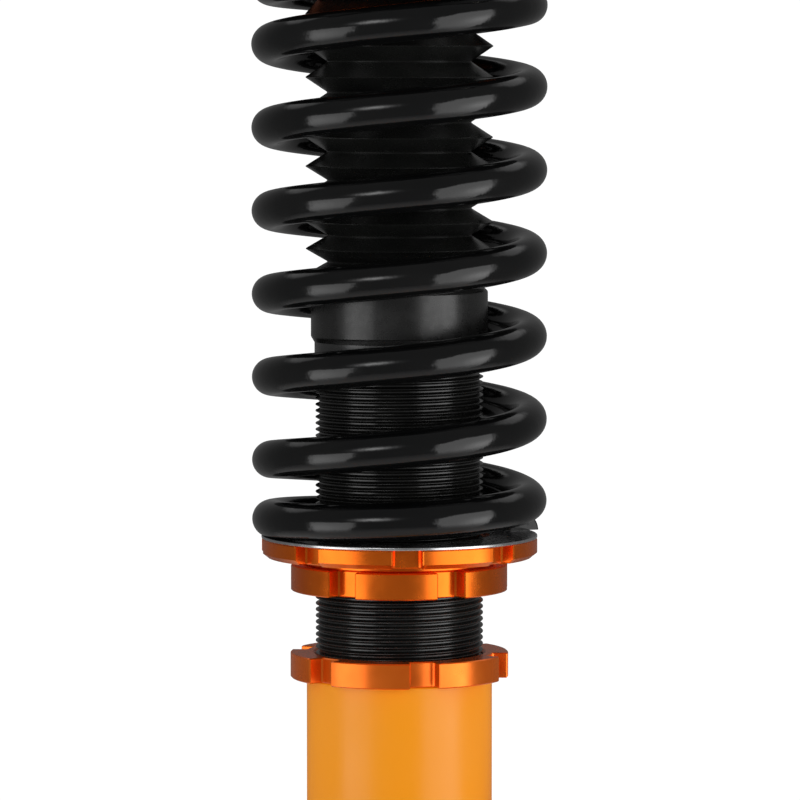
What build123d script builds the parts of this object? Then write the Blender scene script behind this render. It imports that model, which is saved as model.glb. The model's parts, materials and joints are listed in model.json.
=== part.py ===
from build123d import *

import os
from math import asin, cos, radians, sin

# Threaded-body strut coilover with a two-bolt lower bracket and a pillow-ball camber top mount.
# Heights are measured up from the top rim of the bracket tube, where the lower lock ring rests.
# The part's origin is on the damper axis, in the upper face of the camber plate.
# +X points outboard, towards the wheel, and the knuckle bolts run along Y.

# Driving dimensions, in millimetres
PLATE_FACE = 274.0  # height of the camber plate's upper face
RUN = 0.1  # radial clearance of a running fit
GLIDE = 0.05  # radial clearance of seals, bushes and other close fits
BREAK = 0.4  # broken edge of a turned piece

THREAD_R = 26.9  # crest of the M54 x 2 body thread
BODY_BORE_R = 23.0
BODY_BOTTOM, THREAD_TOP, NECK_TOP, BODY_TOP = -100.0, 99.0, 111.0, 121.0
NECK_R = 27.2
CAP_R, CAP_BOTTOM, CAP_TOP = 28.35, 107.9, 125.0

TUBE_R, TUBE_BOTTOM, TUBE_THREAD_LENGTH = 29.8, -150.0, 60.0
SADDLE_R = TUBE_R + GLIDE  # inside of whatever is welded round the tube
BRACKET_BOTTOM, BRACKET_TOP = -148.0, -48.0
PLATE_THICKNESS, PLATE_BEND = 5.0, 12.0  # pressed steel of the knuckle bracket
EAR_GAP = 34.0  # thickness of the knuckle held between the ears
EAR_START, EAR_REACH = 26.0, 78.0
BOLT_X, BOLT_SPACING, BOLT_HOLE_R = 62.0, 60.0, 7.1
TAB_REACH, TAB_WIDTH, TAB_THICKNESS, TAB_HOLE_R, TAB_AZIMUTH = 52.0, 26.0, 3.0, 5.25, 135.0

RING_R, RING_NOTCHES, NOTCH_WIDTH, RING_FLOOR_R = 35.0, 6, 8.25, 30.2
LOWER_RING_HEIGHT, LOWER_RING_TURN = 8.1, 13.5
SEAT_RING_BOTTOM, SEAT_RING_HEIGHT, SEAT_RING_TURN = 28.2, 8.5, 28.4
SEAT_R, SEAT_FLOOR_R, SEAT_NOTCHES, SEAT_NOTCH_WIDTH, SEAT_TURN = 44.3, 39.7, 8, 8.6, 3.4
SEAT_HUB_R, SEAT_UNDERSIDE, SEAT_TOP, SEAT_BEVEL = 31.0, 38.85, 44.9, 1.5
SPRING_BOTTOM = 45.9  # upper face of the washer

WIRE_R, COIL_R, SPRING_LENGTH = 6.0, 41.25, 180.0
ACTIVE_PITCH, END_PITCH = 26.55, 11.9
FIRST_TIP = 17.0  # azimuth of the lower wire end, in degrees
SPRING_TOP = SPRING_BOTTOM + SPRING_LENGTH

ROD_R, ROD_TOP_R, ROD_FOOT_R, ROD_HOLE_R = 11.0, 7.0, 6.0, 4.0
PISTON_SHOULDER, ROD_SHOULDER = 71.6, 236.0

BOOT_BOTTOM, BOOT_TOP, BOOT_WALL, CUFF_R = 125.4, 217.4, 1.6, 25.5
RIDGE_R, VALLEY_R, RIDGES = 30.2, 22.9, 10
FIRST_RIDGE, RIDGE_STEP, RIDGE_STRETCH = 129.3, 8.2, 0.1136

BALL_R, BALL_HEIGHT, BALL_WIDTH = 15.0, 256.0, 19.0
RACE_R, RACE_HALF = 19.0, 6.9
HOUSING_BOTTOM, HOUSING_TOP = 246.9, 268.0
CAMBER_TRAVEL = 10.0
CAMBER_X, CAMBER_Y, CAMBER_SLOT_WIDTH = 26.0, 28.0, 6.8
STUD_R, STUD_CIRCLE_R, STUD_TOP = 4.0, 58.0, 298.0

os.makedirs("parts", exist_ok=True)


def z(height):
    """The height above the bracket tube's rim, as a coordinate in the part's frame."""
    return height - PLATE_FACE


def level(height):
    """The horizontal plane at a height above the bracket tube's rim."""
    return Plane.XY.offset(z(height))


def turned(*points, mode=Mode.ADD):
    """Turns a closed profile of (radius, height) points about the damper axis."""
    with BuildSketch(Plane.XZ) as profile:
        with BuildLine():
            Polyline(*[(r, z(h)) for r, h in points], close=True)
        make_face()
    revolve(profile.sketch, axis=Axis.Z, mode=mode)


def ring(inner, outer, bottom, top, mode=Mode.ADD):
    """A plain ring, or a disc if its inner radius is 0."""
    turned((inner, bottom), (outer, bottom), (outer, top), (inner, top), mode=mode)


def bevelled_ring(inner, outer, bottom, top, bevel=BREAK):
    """A ring with its four rims broken."""
    turned(
        (inner, bottom + bevel),
        (inner + bevel, bottom),
        (outer - bevel, bottom),
        (outer, bottom + bevel),
        (outer, top - bevel),
        (outer - bevel, top),
        (inner + bevel, top),
        (inner, top - bevel),
    )


def spanner_notches(count, width, floor_r, turn, bottom, top):
    """Cuts C-spanner notches with radial walls and a round floor in from the rim.
    width is at the floor, and turn is the first notch's angle from -Y towards +X."""
    far, half, overrun = 2 * SEAT_R, asin(width / 2 / floor_r), 1.0
    with BuildSketch(level(bottom - overrun)) as notches:
        for i in range(count):
            middle = radians(turn - 90 + 360 * i / count)
            sides = [(far * cos(middle + a), far * sin(middle + a)) for a in (-half, half)]
            with BuildLine():
                Polyline((0, 0), *sides, close=True)
            make_face()
        Circle(floor_r, mode=Mode.SUBTRACT)
    extrude(notches.sketch, amount=top - bottom + 2 * overrun, mode=Mode.SUBTRACT)


def save(builder, name):
    """Labels a finished piece and writes it as parts/name.step."""
    builder.part.label = name
    export_step(builder.part, f"parts/{name}.step")


# Lower bracket ------------------------------------------------------------------------------------

with BuildPart() as bracket_tube:
    thread_bore, relief_bore = THREAD_R + RUN, THREAD_R + 5 * RUN
    thread_end, rim_bevel, lead_in = -TUBE_THREAD_LENGTH, 0.6, 0.8
    turned(
        (relief_bore, TUBE_BOTTOM),
        (TUBE_R, TUBE_BOTTOM),
        (TUBE_R, -rim_bevel),
        (TUBE_R - rim_bevel, 0),
        (thread_bore + lead_in, 0),
        (thread_bore, -lead_in),
        (thread_bore, thread_end),
        (relief_bore, thread_end - rim_bevel),
    )
save(bracket_tube, "bracket_tube")

with BuildPart() as tube_end_plate:
    drain_hole_r, end_plate_thickness = 5.0, 5.0
    ring(drain_hole_r, relief_bore - GLIDE, TUBE_BOTTOM, TUBE_BOTTOM + end_plate_thickness)
save(tube_end_plate, "tube_end_plate")

with BuildPart() as knuckle_bracket:
    bend = SADDLE_R + PLATE_THICKNESS
    ear_y, ear_length = EAR_GAP / 2 + PLATE_THICKNESS / 2, EAR_REACH - EAR_START
    with BuildSketch(level(BRACKET_BOTTOM)):
        Circle(bend)
        with Locations((EAR_START + bend / 2, 0)):
            Rectangle(bend, EAR_GAP, mode=Mode.SUBTRACT)
        for side in (-1, 1):
            with Locations((EAR_REACH - ear_length / 2, side * ear_y)):
                Rectangle(ear_length, PLATE_THICKNESS)
        Circle(SADDLE_R, mode=Mode.SUBTRACT)
    extrude(amount=BRACKET_TOP - BRACKET_BOTTOM)
    ear_face, near = EAR_GAP / 2 + PLATE_THICKNESS, 0.01
    outer_bends = knuckle_bracket.edges().filter_by(Axis.Z).filter_by(
        lambda e: abs(abs(e.center().Y) - ear_face) < near and e.center().X < bend
    )
    fillet(outer_bends, radius=PLATE_BEND)
    # Seen from the side, the saddle is shorter than the ears
    back_x, back_step, slope_start, slope_end, corner_r = -40, 18, -6, 22, 12
    with BuildSketch(Plane.XZ) as side_view:
        with BuildLine():
            FilletPolyline(
                (back_x, z(BRACKET_TOP - back_step)),
                (slope_start, z(BRACKET_TOP - back_step)),
                (slope_end, z(BRACKET_TOP)),
                (EAR_REACH, z(BRACKET_TOP)),
                (EAR_REACH, z(BRACKET_BOTTOM)),
                (slope_end, z(BRACKET_BOTTOM)),
                (slope_start, z(BRACKET_BOTTOM + back_step)),
                (back_x, z(BRACKET_BOTTOM + back_step)),
                radius=corner_r,
                close=True,
            )
        make_face()
    extrude(side_view.sketch, amount=2 * ear_face, both=True, mode=Mode.INTERSECT)
    bolt_height = (BRACKET_BOTTOM + BRACKET_TOP) / 2
    with BuildSketch(Plane.XZ) as bolt_holes:
        for side in (-1, 1):
            with Locations((BOLT_X, z(bolt_height + side * BOLT_SPACING / 2))):
                Circle(BOLT_HOLE_R)
    extrude(bolt_holes.sketch, amount=2 * ear_face, both=True, mode=Mode.SUBTRACT)
save(knuckle_bracket, "knuckle_bracket")

with BuildPart() as hose_bracket:
    tab_top, tab_depth = BRACKET_TOP - 1, 14.0
    with BuildSketch(level(tab_top - TAB_THICKNESS)):
        with Locations((TAB_REACH / 2, 0)):
            Rectangle(TAB_REACH, TAB_WIDTH)
        with Locations((TAB_REACH, 0)):
            Circle(TAB_WIDTH / 2)
            Circle(TAB_HOLE_R, mode=Mode.SUBTRACT)
        Circle(SADDLE_R, mode=Mode.SUBTRACT)
    extrude(amount=TAB_THICKNESS)
    with BuildSketch(level(tab_top - tab_depth)):
        Circle(SADDLE_R + TAB_THICKNESS)
        Circle(SADDLE_R, mode=Mode.SUBTRACT)
        with Locations((TUBE_R, 0)):
            Rectangle(TAB_WIDTH / 2, TAB_WIDTH, mode=Mode.INTERSECT)
    extrude(amount=tab_depth - TAB_THICKNESS)
hose_bracket.part = hose_bracket.part.rotate(Axis.Z, TAB_AZIMUTH)
save(hose_bracket, "hose_bracket")

# Lock rings and spring seat -----------------------------------------------------------------------

with BuildPart() as lower_lock_ring:
    bevelled_ring(THREAD_R + RUN, RING_R, 0, LOWER_RING_HEIGHT)
    spanner_notches(
        RING_NOTCHES, NOTCH_WIDTH, RING_FLOOR_R, LOWER_RING_TURN, 0, LOWER_RING_HEIGHT
    )
save(lower_lock_ring, "lower_lock_ring")

with BuildPart() as seat_lock_ring:
    seat_ring_top = SEAT_RING_BOTTOM + SEAT_RING_HEIGHT
    bevelled_ring(THREAD_R + RUN, RING_R, SEAT_RING_BOTTOM, seat_ring_top)
    spanner_notches(
        RING_NOTCHES, NOTCH_WIDTH, RING_FLOOR_R, SEAT_RING_TURN, SEAT_RING_BOTTOM, seat_ring_top
    )
save(seat_lock_ring, "seat_lock_ring")

with BuildPart() as spring_seat:
    turned(
        (THREAD_R + RUN, seat_ring_top),
        (SEAT_HUB_R, seat_ring_top),
        (SEAT_HUB_R, SEAT_UNDERSIDE),
        (SEAT_R - SEAT_BEVEL, SEAT_UNDERSIDE),
        (SEAT_R, SEAT_UNDERSIDE + SEAT_BEVEL),
        (SEAT_R, SEAT_TOP - BREAK),
        (SEAT_R - BREAK, SEAT_TOP),
        (THREAD_R + RUN + BREAK, SEAT_TOP),
        (THREAD_R + RUN, SEAT_TOP - BREAK),
    )
    spanner_notches(
        SEAT_NOTCHES, SEAT_NOTCH_WIDTH, SEAT_FLOOR_R, SEAT_TURN, SEAT_UNDERSIDE, SEAT_TOP
    )
save(spring_seat, "spring_seat")

with BuildPart() as spring_washer:
    washer_bore_r = 29.0
    ring(washer_bore_r, SEAT_R, SEAT_TOP, SPRING_BOTTOM)
save(spring_washer, "spring_washer")

# Coil spring --------------------------------------------------------------------------------------


def wire_height(angle, total):
    """Height of the wire's centre above the spring's lower end, angle degrees along the wire."""
    if angle > total / 2:
        return SPRING_LENGTH - wire_height(total - angle, total)
    closed_turn, ramp, tip = 335.0, 30.0, -0.3
    rise = tip + END_PITCH / 360 * angle
    if angle > closed_turn:
        past = angle - closed_turn
        extra = (ACTIVE_PITCH - END_PITCH) / 360
        rise += extra * (past * past / (2 * ramp) if past < ramp else past - ramp / 2)
    return rise


def wire_turns():
    """The wire's whole angle in degrees, at which the coil's two halves meet at mid height."""
    low, high, near = 360.0, 7200.0, 1e-6
    while high - low > near:
        middle = (low + high) / 2
        if wire_height(middle / 2, middle) < SPRING_LENGTH / 2:
            low = middle
        else:
            high = middle
    return low


with BuildPart() as coil_spring:
    WIRE_ANGLE, WIRE_STEPS = wire_turns(), 160
    steps = [WIRE_ANGLE * i / WIRE_STEPS for i in range(WIRE_STEPS + 1)]
    route = [
        Vector(
            COIL_R * cos(radians(FIRST_TIP + a)),
            COIL_R * sin(radians(FIRST_TIP + a)),
            z(SPRING_BOTTOM + wire_height(a, WIRE_ANGLE)),
        )
        for a in steps
    ]
    with BuildLine() as wire:
        Spline(*route)
    with BuildSketch(Plane(origin=wire.line @ 0, z_dir=wire.line % 0)):
        Circle(WIRE_R)
    sweep(path=wire.line, is_frenet=True)
    split(bisect_by=level(SPRING_BOTTOM), keep=Keep.TOP)
    split(bisect_by=level(SPRING_TOP), keep=Keep.BOTTOM)
save(coil_spring, "coil_spring")

# Damper body --------------------------------------------------------------------------------------

SPIGOT_R = THREAD_R - 1.5  # reduced top of the body, inside the gland cap
with BuildPart() as threaded_body:
    foot_bevel = 1.0
    turned(
        (BODY_BORE_R, BODY_BOTTOM),
        (THREAD_R - foot_bevel, BODY_BOTTOM),
        (THREAD_R, BODY_BOTTOM + foot_bevel),
        (THREAD_R, THREAD_TOP - (NECK_R - THREAD_R)),
        (NECK_R, THREAD_TOP),
        (NECK_R, NECK_TOP),
        (SPIGOT_R, NECK_TOP),
        (SPIGOT_R, BODY_TOP),
        (BODY_BORE_R, BODY_TOP),
    )
save(threaded_body, "threaded_body")

with BuildPart() as base_plug:
    plug_height, plug_recess_r, plug_floor = 12.0, 12.0, 8.0
    turned(
        (0, BODY_BOTTOM),
        (BODY_BORE_R, BODY_BOTTOM),
        (BODY_BORE_R, BODY_BOTTOM + plug_height),
        (plug_recess_r, BODY_BOTTOM + plug_height),
        (plug_recess_r, BODY_BOTTOM + plug_floor),
        (0, BODY_BOTTOM + plug_floor),
    )
save(base_plug, "base_plug")

GUIDE_BOTTOM, GUIDE_TOP, BUSH_WALL, BUSH_INSET = 97.0, 113.0, 1.5, 1.0
with BuildPart() as rod_guide:
    ring(ROD_R + BUSH_WALL, BODY_BORE_R, GUIDE_BOTTOM, GUIDE_TOP)
save(rod_guide, "rod_guide")

with BuildPart() as guide_bush:
    ring(ROD_R + GLIDE, ROD_R + BUSH_WALL, GUIDE_BOTTOM + BUSH_INSET, GUIDE_TOP - BUSH_INSET)
save(guide_bush, "guide_bush")

with BuildPart() as rod_seal:
    lip_depth, lip_r = 4.0, ROD_R + 5
    turned(
        (ROD_R + GLIDE, GUIDE_TOP),
        (BODY_BORE_R, GUIDE_TOP),
        (BODY_BORE_R, BODY_TOP),
        (lip_r, BODY_TOP),
        (lip_r, BODY_TOP - lip_depth),
        (ROD_R + GLIDE, BODY_TOP - lip_depth),
    )
save(rod_seal, "rod_seal")

WIPER_R = ROD_R + 2.5
with BuildPart() as gland_cap:
    cap_bevel, skirt_bevel = 1.0, 1.7
    turned(
        (CAP_R - cap_bevel, CAP_BOTTOM),
        (CAP_R, CAP_BOTTOM + skirt_bevel),
        (CAP_R, CAP_TOP - cap_bevel),
        (CAP_R - cap_bevel, CAP_TOP),
        (WIPER_R, CAP_TOP),
        (WIPER_R, BODY_TOP),
        (SPIGOT_R, BODY_TOP),
        (SPIGOT_R, NECK_TOP),
        (NECK_R, NECK_TOP),
        (NECK_R, CAP_BOTTOM),
    )
save(gland_cap, "gland_cap")

with BuildPart() as wiper_seal:
    ring(ROD_R + GLIDE, WIPER_R, BODY_TOP, CAP_TOP)
save(wiper_seal, "wiper_seal")

# Gas separator ------------------------------------------------------------------------------------

SEPARATOR_BOTTOM, SEPARATOR_TOP, SEPARATOR_CUP_R, SEPARATOR_CUP = -62.0, -46.0, 15.0, 9.0
RING_LOW, RING_HIGH, GROOVE_R = -56.0, -52.0, BODY_BORE_R - 3  # the sealing ring's groove
with BuildPart() as floating_piston:
    turned(
        (0, SEPARATOR_BOTTOM),
        (BODY_BORE_R - RUN, SEPARATOR_BOTTOM),
        (BODY_BORE_R - RUN, RING_LOW),
        (GROOVE_R, RING_LOW),
        (GROOVE_R, RING_HIGH),
        (BODY_BORE_R - RUN, RING_HIGH),
        (BODY_BORE_R - RUN, SEPARATOR_TOP),
        (SEPARATOR_CUP_R, SEPARATOR_TOP),
        (SEPARATOR_CUP_R, SEPARATOR_TOP - SEPARATOR_CUP),
        (0, SEPARATOR_TOP - SEPARATOR_CUP),
    )
save(floating_piston, "floating_piston")

with BuildPart() as floating_piston_ring:
    ring(GROOVE_R, BODY_BORE_R - GLIDE, RING_LOW, RING_HIGH)
save(floating_piston_ring, "floating_piston_ring")

# Piston rod and piston ----------------------------------------------------------------------------

ROD_BOTTOM, ROD_TOP = 38.0, 290.0
with BuildPart() as piston_rod:
    rod_bevel, rod_end_bevel = 0.5, 0.8
    turned(
        (ROD_HOLE_R, ROD_BOTTOM),
        (ROD_FOOT_R, ROD_BOTTOM),
        (ROD_FOOT_R, PISTON_SHOULDER),
        (ROD_R - rod_bevel, PISTON_SHOULDER),
        (ROD_R, PISTON_SHOULDER + rod_bevel),
        (ROD_R, ROD_SHOULDER - rod_bevel),
        (ROD_R - rod_bevel, ROD_SHOULDER),
        (ROD_TOP_R, ROD_SHOULDER),
        (ROD_TOP_R, ROD_TOP - rod_end_bevel),
        (ROD_TOP_R - rod_end_bevel, ROD_TOP),
        (ROD_HOLE_R, ROD_TOP),
    )
save(piston_rod, "piston_rod")

PISTON_R, PISTON_BOTTOM, PISTON_TOP = BODY_BORE_R - 0.3, 50.0, 66.0
PISTON_PORTS, PORT_R, PORT_CIRCLE_R = 6, 2.2, 14.0
BAND_FLOOR_R, BAND_INSET = BODY_BORE_R - 1.5, 4.0
with BuildPart() as piston:
    turned(
        (ROD_FOOT_R, PISTON_BOTTOM),
        (PISTON_R, PISTON_BOTTOM),
        (PISTON_R, PISTON_BOTTOM + BAND_INSET),
        (BAND_FLOOR_R, PISTON_BOTTOM + BAND_INSET),
        (BAND_FLOOR_R, PISTON_TOP - BAND_INSET),
        (PISTON_R, PISTON_TOP - BAND_INSET),
        (PISTON_R, PISTON_TOP),
        (ROD_FOOT_R, PISTON_TOP),
    )
    with Locations(level((PISTON_BOTTOM + PISTON_TOP) / 2)):
        with PolarLocations(PORT_CIRCLE_R, PISTON_PORTS):
            Cylinder(PORT_R, PISTON_TOP - PISTON_BOTTOM, mode=Mode.SUBTRACT)
save(piston, "piston")

with BuildPart() as piston_band:
    ring(BAND_FLOOR_R, BODY_BORE_R - GLIDE, PISTON_BOTTOM + BAND_INSET, PISTON_TOP - BAND_INSET)
save(piston_band, "piston_band")

# Each stack is separate spring-steel discs, a film of oil apart, and the rod's shoulder
# clamps the compression stack through a collar
SHIM_RADII, SHIM, FILM, CLAMP_R = (19.0, 16.0, 13.0), 0.8, 0.02, 10.5
with BuildPart() as compression_shims:
    for i, radius in enumerate(SHIM_RADII):
        ring(ROD_FOOT_R, radius, PISTON_TOP + i * SHIM, PISTON_TOP + (i + 1) * SHIM - FILM)
    ring(ROD_FOOT_R, CLAMP_R, PISTON_TOP + len(SHIM_RADII) * SHIM, PISTON_SHOULDER)
save(compression_shims, "compression_shims")

with BuildPart() as rebound_shims:
    for i, radius in enumerate(SHIM_RADII):
        ring(ROD_FOOT_R, radius, PISTON_BOTTOM - (i + 1) * SHIM, PISTON_BOTTOM - i * SHIM - FILM)
save(rebound_shims, "rebound_shims")

with BuildPart() as piston_nut:
    nut_height, nut_half_width = 7.0, 9.5
    with BuildSketch(level(PISTON_BOTTOM - len(SHIM_RADII) * SHIM - nut_height)):
        RegularPolygon(nut_half_width, 6, major_radius=False)
        Circle(ROD_FOOT_R, mode=Mode.SUBTRACT)
    extrude(amount=nut_height)
save(piston_nut, "piston_nut")

with BuildPart() as bump_stop:
    stop_bottom, lobe_r, waist_r, nose_r, lobe = 186.5, 19.5, 15.5, 15.5, 5.0
    turned(
        (ROD_R + RUN, stop_bottom),
        (nose_r, stop_bottom),
        (lobe_r - 1, stop_bottom + lobe),
        (waist_r, stop_bottom + 2 * lobe),
        (lobe_r, stop_bottom + 3 * lobe),
        (waist_r, stop_bottom + 4 * lobe),
        (lobe_r, stop_bottom + 5 * lobe),
        (lobe_r, BOOT_TOP),
        (ROD_R + RUN, BOOT_TOP),
    )
save(bump_stop, "bump_stop")

# Dust boot ----------------------------------------------------------------------------------------


def ridge_height(i):
    """The bellows hangs from its top, so its folds open out a little upwards."""
    return FIRST_RIDGE + RIDGE_STEP * i + RIDGE_STRETCH * i * i


with BuildPart() as dust_boot:
    outside = [(CUFF_R, BOOT_BOTTOM)]
    for i in range(RIDGES):
        outside.append((RIDGE_R, ridge_height(i)))
        if i < RIDGES - 1:
            outside.append((VALLEY_R, (ridge_height(i) + ridge_height(i + 1)) / 2))
    outside.append((CUFF_R, BOOT_TOP))
    inside = [(r - BOOT_WALL, h) for r, h in reversed(outside)]
    turned(*outside, *inside)
save(dust_boot, "dust_boot")

# Upper spring seat and thrust bearing -------------------------------------------------------------

BEARING_IN_R, BEARING_OUT_R = 15.1, 23.5
RACE_FLOOR, RACE_THICKNESS, ROLLER_HEIGHT = 232.0, 1.0, 234.0
UPPER_SEAT_R, UPPER_SEAT_EDGE, UPPER_SEAT_TOP = 47.5, 232.5, 234.2
with BuildPart() as upper_spring_seat:
    spigot_r, spigot_bottom, crown_r = 34.9, 218.0, 34.0
    pocket_r, pocket_in_r, pocket_roof = 27.0, 16.0, 228.0
    recess_r, land_r = BEARING_OUT_R + 0.5, BEARING_IN_R - RUN
    turned(
        (ROD_R + RUN, spigot_bottom),
        (pocket_in_r, spigot_bottom),
        (pocket_in_r, pocket_roof),
        (pocket_r, pocket_roof),
        (pocket_r, spigot_bottom),
        (spigot_r - 1, spigot_bottom),
        (spigot_r, spigot_bottom + 1),
        (spigot_r, SPRING_TOP),
        (UPPER_SEAT_R - BREAK, SPRING_TOP),
        (UPPER_SEAT_R, SPRING_TOP + BREAK),
        (UPPER_SEAT_R, UPPER_SEAT_EDGE - SEAT_BEVEL),
        (UPPER_SEAT_R - SEAT_BEVEL, UPPER_SEAT_EDGE),
        (crown_r, UPPER_SEAT_TOP),
        (recess_r + BREAK, UPPER_SEAT_TOP),
        (recess_r, UPPER_SEAT_TOP - BREAK),
        (recess_r, RACE_FLOOR),
        (land_r, RACE_FLOOR),
        (land_r, UPPER_SEAT_TOP + BREAK),
        (ROD_R + RUN, UPPER_SEAT_TOP + BREAK),
    )
save(upper_spring_seat, "upper_spring_seat")

with BuildPart() as bearing_race_lower:
    ring(BEARING_IN_R, BEARING_OUT_R, RACE_FLOOR, RACE_FLOOR + RACE_THICKNESS)
save(bearing_race_lower, "bearing_race_lower")

with BuildPart() as bearing_race_upper:
    ring(BEARING_IN_R, BEARING_OUT_R, ROD_SHOULDER - RACE_THICKNESS, ROD_SHOULDER)
save(bearing_race_upper, "bearing_race_upper")

ROLLERS, ROLLER_CIRCLE_R, ROLLER_R, ROLLER_LENGTH = 24, 19.3, 0.95, 6.0
with BuildPart() as roller_cage:
    cage_half, cage_inset, window_play = 0.6, 0.3, 0.3
    ring(
        BEARING_IN_R + cage_inset,
        BEARING_OUT_R - cage_inset,
        ROLLER_HEIGHT - cage_half,
        ROLLER_HEIGHT + cage_half,
    )
    with Locations(level(ROLLER_HEIGHT)):
        with PolarLocations(ROLLER_CIRCLE_R, ROLLERS):
            Box(
                ROLLER_LENGTH + window_play,
                2 * ROLLER_R + window_play,
                4 * cage_half,
                mode=Mode.SUBTRACT,
            )
save(roller_cage, "roller_cage")

with BuildPart() as bearing_rollers:
    with Locations(level(ROLLER_HEIGHT)):
        with PolarLocations(ROLLER_CIRCLE_R, ROLLERS):
            Cylinder(ROLLER_R, ROLLER_LENGTH, rotation=(0, 90, 0))
save(bearing_rollers, "bearing_rollers")

BALL_BOTTOM, BALL_TOP = BALL_HEIGHT - BALL_WIDTH / 2, BALL_HEIGHT + BALL_WIDTH / 2
NECK_FOOT_R, NECK_RIM_R = 13.5, 11.0  # the collar tapers up to the ball, so the mount can tilt
with BuildPart() as bearing_collar:
    flange_height, flange_bevel = 5.0, 1.0
    turned(
        (ROD_TOP_R, ROD_SHOULDER),
        (BEARING_OUT_R, ROD_SHOULDER),
        (BEARING_OUT_R, ROD_SHOULDER + flange_height - flange_bevel),
        (BEARING_OUT_R - flange_bevel, ROD_SHOULDER + flange_height),
        (NECK_FOOT_R, ROD_SHOULDER + flange_height),
        (NECK_RIM_R, BALL_BOTTOM),
        (ROD_TOP_R, BALL_BOTTOM),
    )
save(bearing_collar, "bearing_collar")

# Pillow-ball top mount ----------------------------------------------------------------------------

with BuildPart() as pillow_ball:
    with Locations(level(BALL_HEIGHT)):
        Sphere(BALL_R)
    with Locations(level(BALL_HEIGHT)):
        Cylinder(BALL_R + 1, BALL_WIDTH, mode=Mode.INTERSECT)
        Cylinder(ROD_TOP_R, BALL_WIDTH, mode=Mode.SUBTRACT)
save(pillow_ball, "pillow_ball")

BALL_FILM = 0.08  # between the ball and its races
with BuildPart() as pillow_race_lower:
    ring(0, RACE_R, BALL_HEIGHT - RACE_HALF, BALL_HEIGHT - GLIDE)
    with Locations(level(BALL_HEIGHT)):
        Sphere(BALL_R + BALL_FILM, mode=Mode.SUBTRACT)
save(pillow_race_lower, "pillow_race_lower")

with BuildPart() as pillow_race_upper:
    ring(0, RACE_R, BALL_HEIGHT + GLIDE, BALL_HEIGHT + RACE_HALF)
    with Locations(level(BALL_HEIGHT)):
        Sphere(BALL_R + BALL_FILM, mode=Mode.SUBTRACT)
save(pillow_race_upper, "pillow_race_upper")

RACE_BOTTOM, RACE_TOP = BALL_HEIGHT - RACE_HALF - RUN, BALL_HEIGHT + RACE_HALF + RUN
CLIP_THICKNESS, CLIP_R, CLIP_IN_R, CLIP_GAP = 1.4, 20.3, 17.4, 7.0
CLIP_TOP = RACE_TOP + CLIP_THICKNESS
HOUSING_X, HOUSING_Y, HOUSING_CORNER_R, HOUSING_FLANGE = 70.0, 74.0, 9.0, 10.0
BARREL_R, BARREL_BORE_R = 25.5, 16.5
BOLT_R, BOLT_THREAD, TAP_R, TAP_DEPTH = 2.95, 9.0, 3.0, 10.0
with BuildPart() as pillow_housing:
    flange_bottom = HOUSING_TOP - HOUSING_FLANGE
    with BuildSketch(level(flange_bottom)):
        RectangleRounded(HOUSING_X, HOUSING_Y, HOUSING_CORNER_R)
    extrude(amount=HOUSING_FLANGE)
    chamfer(pillow_housing.edges().group_by(Axis.Z)[0], length=1)
    ring(0, BARREL_R, HOUSING_BOTTOM, flange_bottom + 1)
    ring(0, BARREL_BORE_R, HOUSING_BOTTOM, RACE_BOTTOM, mode=Mode.SUBTRACT)
    ring(0, RACE_R + GLIDE, RACE_BOTTOM, HOUSING_TOP, mode=Mode.SUBTRACT)
    ring(0, CLIP_R, RACE_TOP, CLIP_TOP, mode=Mode.SUBTRACT)
    with BuildSketch(level(HOUSING_TOP - TAP_DEPTH)) as taps:
        with GridLocations(2 * CAMBER_X, 2 * CAMBER_Y, 2, 2):
            Circle(TAP_R)
    extrude(taps.sketch, amount=TAP_DEPTH, mode=Mode.SUBTRACT)
save(pillow_housing, "pillow_housing")

with BuildPart() as snap_ring:
    ring(CLIP_IN_R, CLIP_R - RUN, RACE_TOP + GLIDE, CLIP_TOP - GLIDE)
    with Locations(level((RACE_TOP + CLIP_TOP) / 2)):
        with Locations((0, CLIP_R)):
            Box(CLIP_GAP, CLIP_IN_R / 2, 2 * CLIP_THICKNESS, mode=Mode.SUBTRACT)
save(snap_ring, "snap_ring")

BOLT_WASHER, BOLT_WASHER_R = 1.2, 6.0
HEAD_R, HEAD_HEIGHT, SOCKET_HALF_WIDTH, SOCKET_DEPTH = 5.0, 6.0, 2.5, 3.0
WASHER_TOP = PLATE_FACE + BOLT_WASHER
HEAD_TOP = WASHER_TOP + HEAD_HEIGHT
with BuildPart() as camber_bolts:
    with BuildSketch(level(HOUSING_TOP - BOLT_THREAD)):
        with GridLocations(2 * CAMBER_X, 2 * CAMBER_Y, 2, 2):
            Circle(BOLT_R)
    extrude(amount=WASHER_TOP - HOUSING_TOP + BOLT_THREAD)
    with BuildSketch(level(WASHER_TOP)):
        with GridLocations(2 * CAMBER_X, 2 * CAMBER_Y, 2, 2):
            Circle(HEAD_R)
    extrude(amount=HEAD_HEIGHT)
    with BuildSketch(level(HEAD_TOP - SOCKET_DEPTH)):
        with GridLocations(2 * CAMBER_X, 2 * CAMBER_Y, 2, 2):
            RegularPolygon(SOCKET_HALF_WIDTH, 6, major_radius=False)
    extrude(amount=SOCKET_DEPTH, mode=Mode.SUBTRACT)
save(camber_bolts, "camber_bolts")

with BuildPart() as camber_washers:
    with BuildSketch(level(PLATE_FACE)):
        with GridLocations(2 * CAMBER_X, 2 * CAMBER_Y, 2, 2):
            Circle(BOLT_WASHER_R)
            Circle(BOLT_R + RUN, mode=Mode.SUBTRACT)
    extrude(amount=BOLT_WASHER)
save(camber_washers, "camber_washers")

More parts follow.
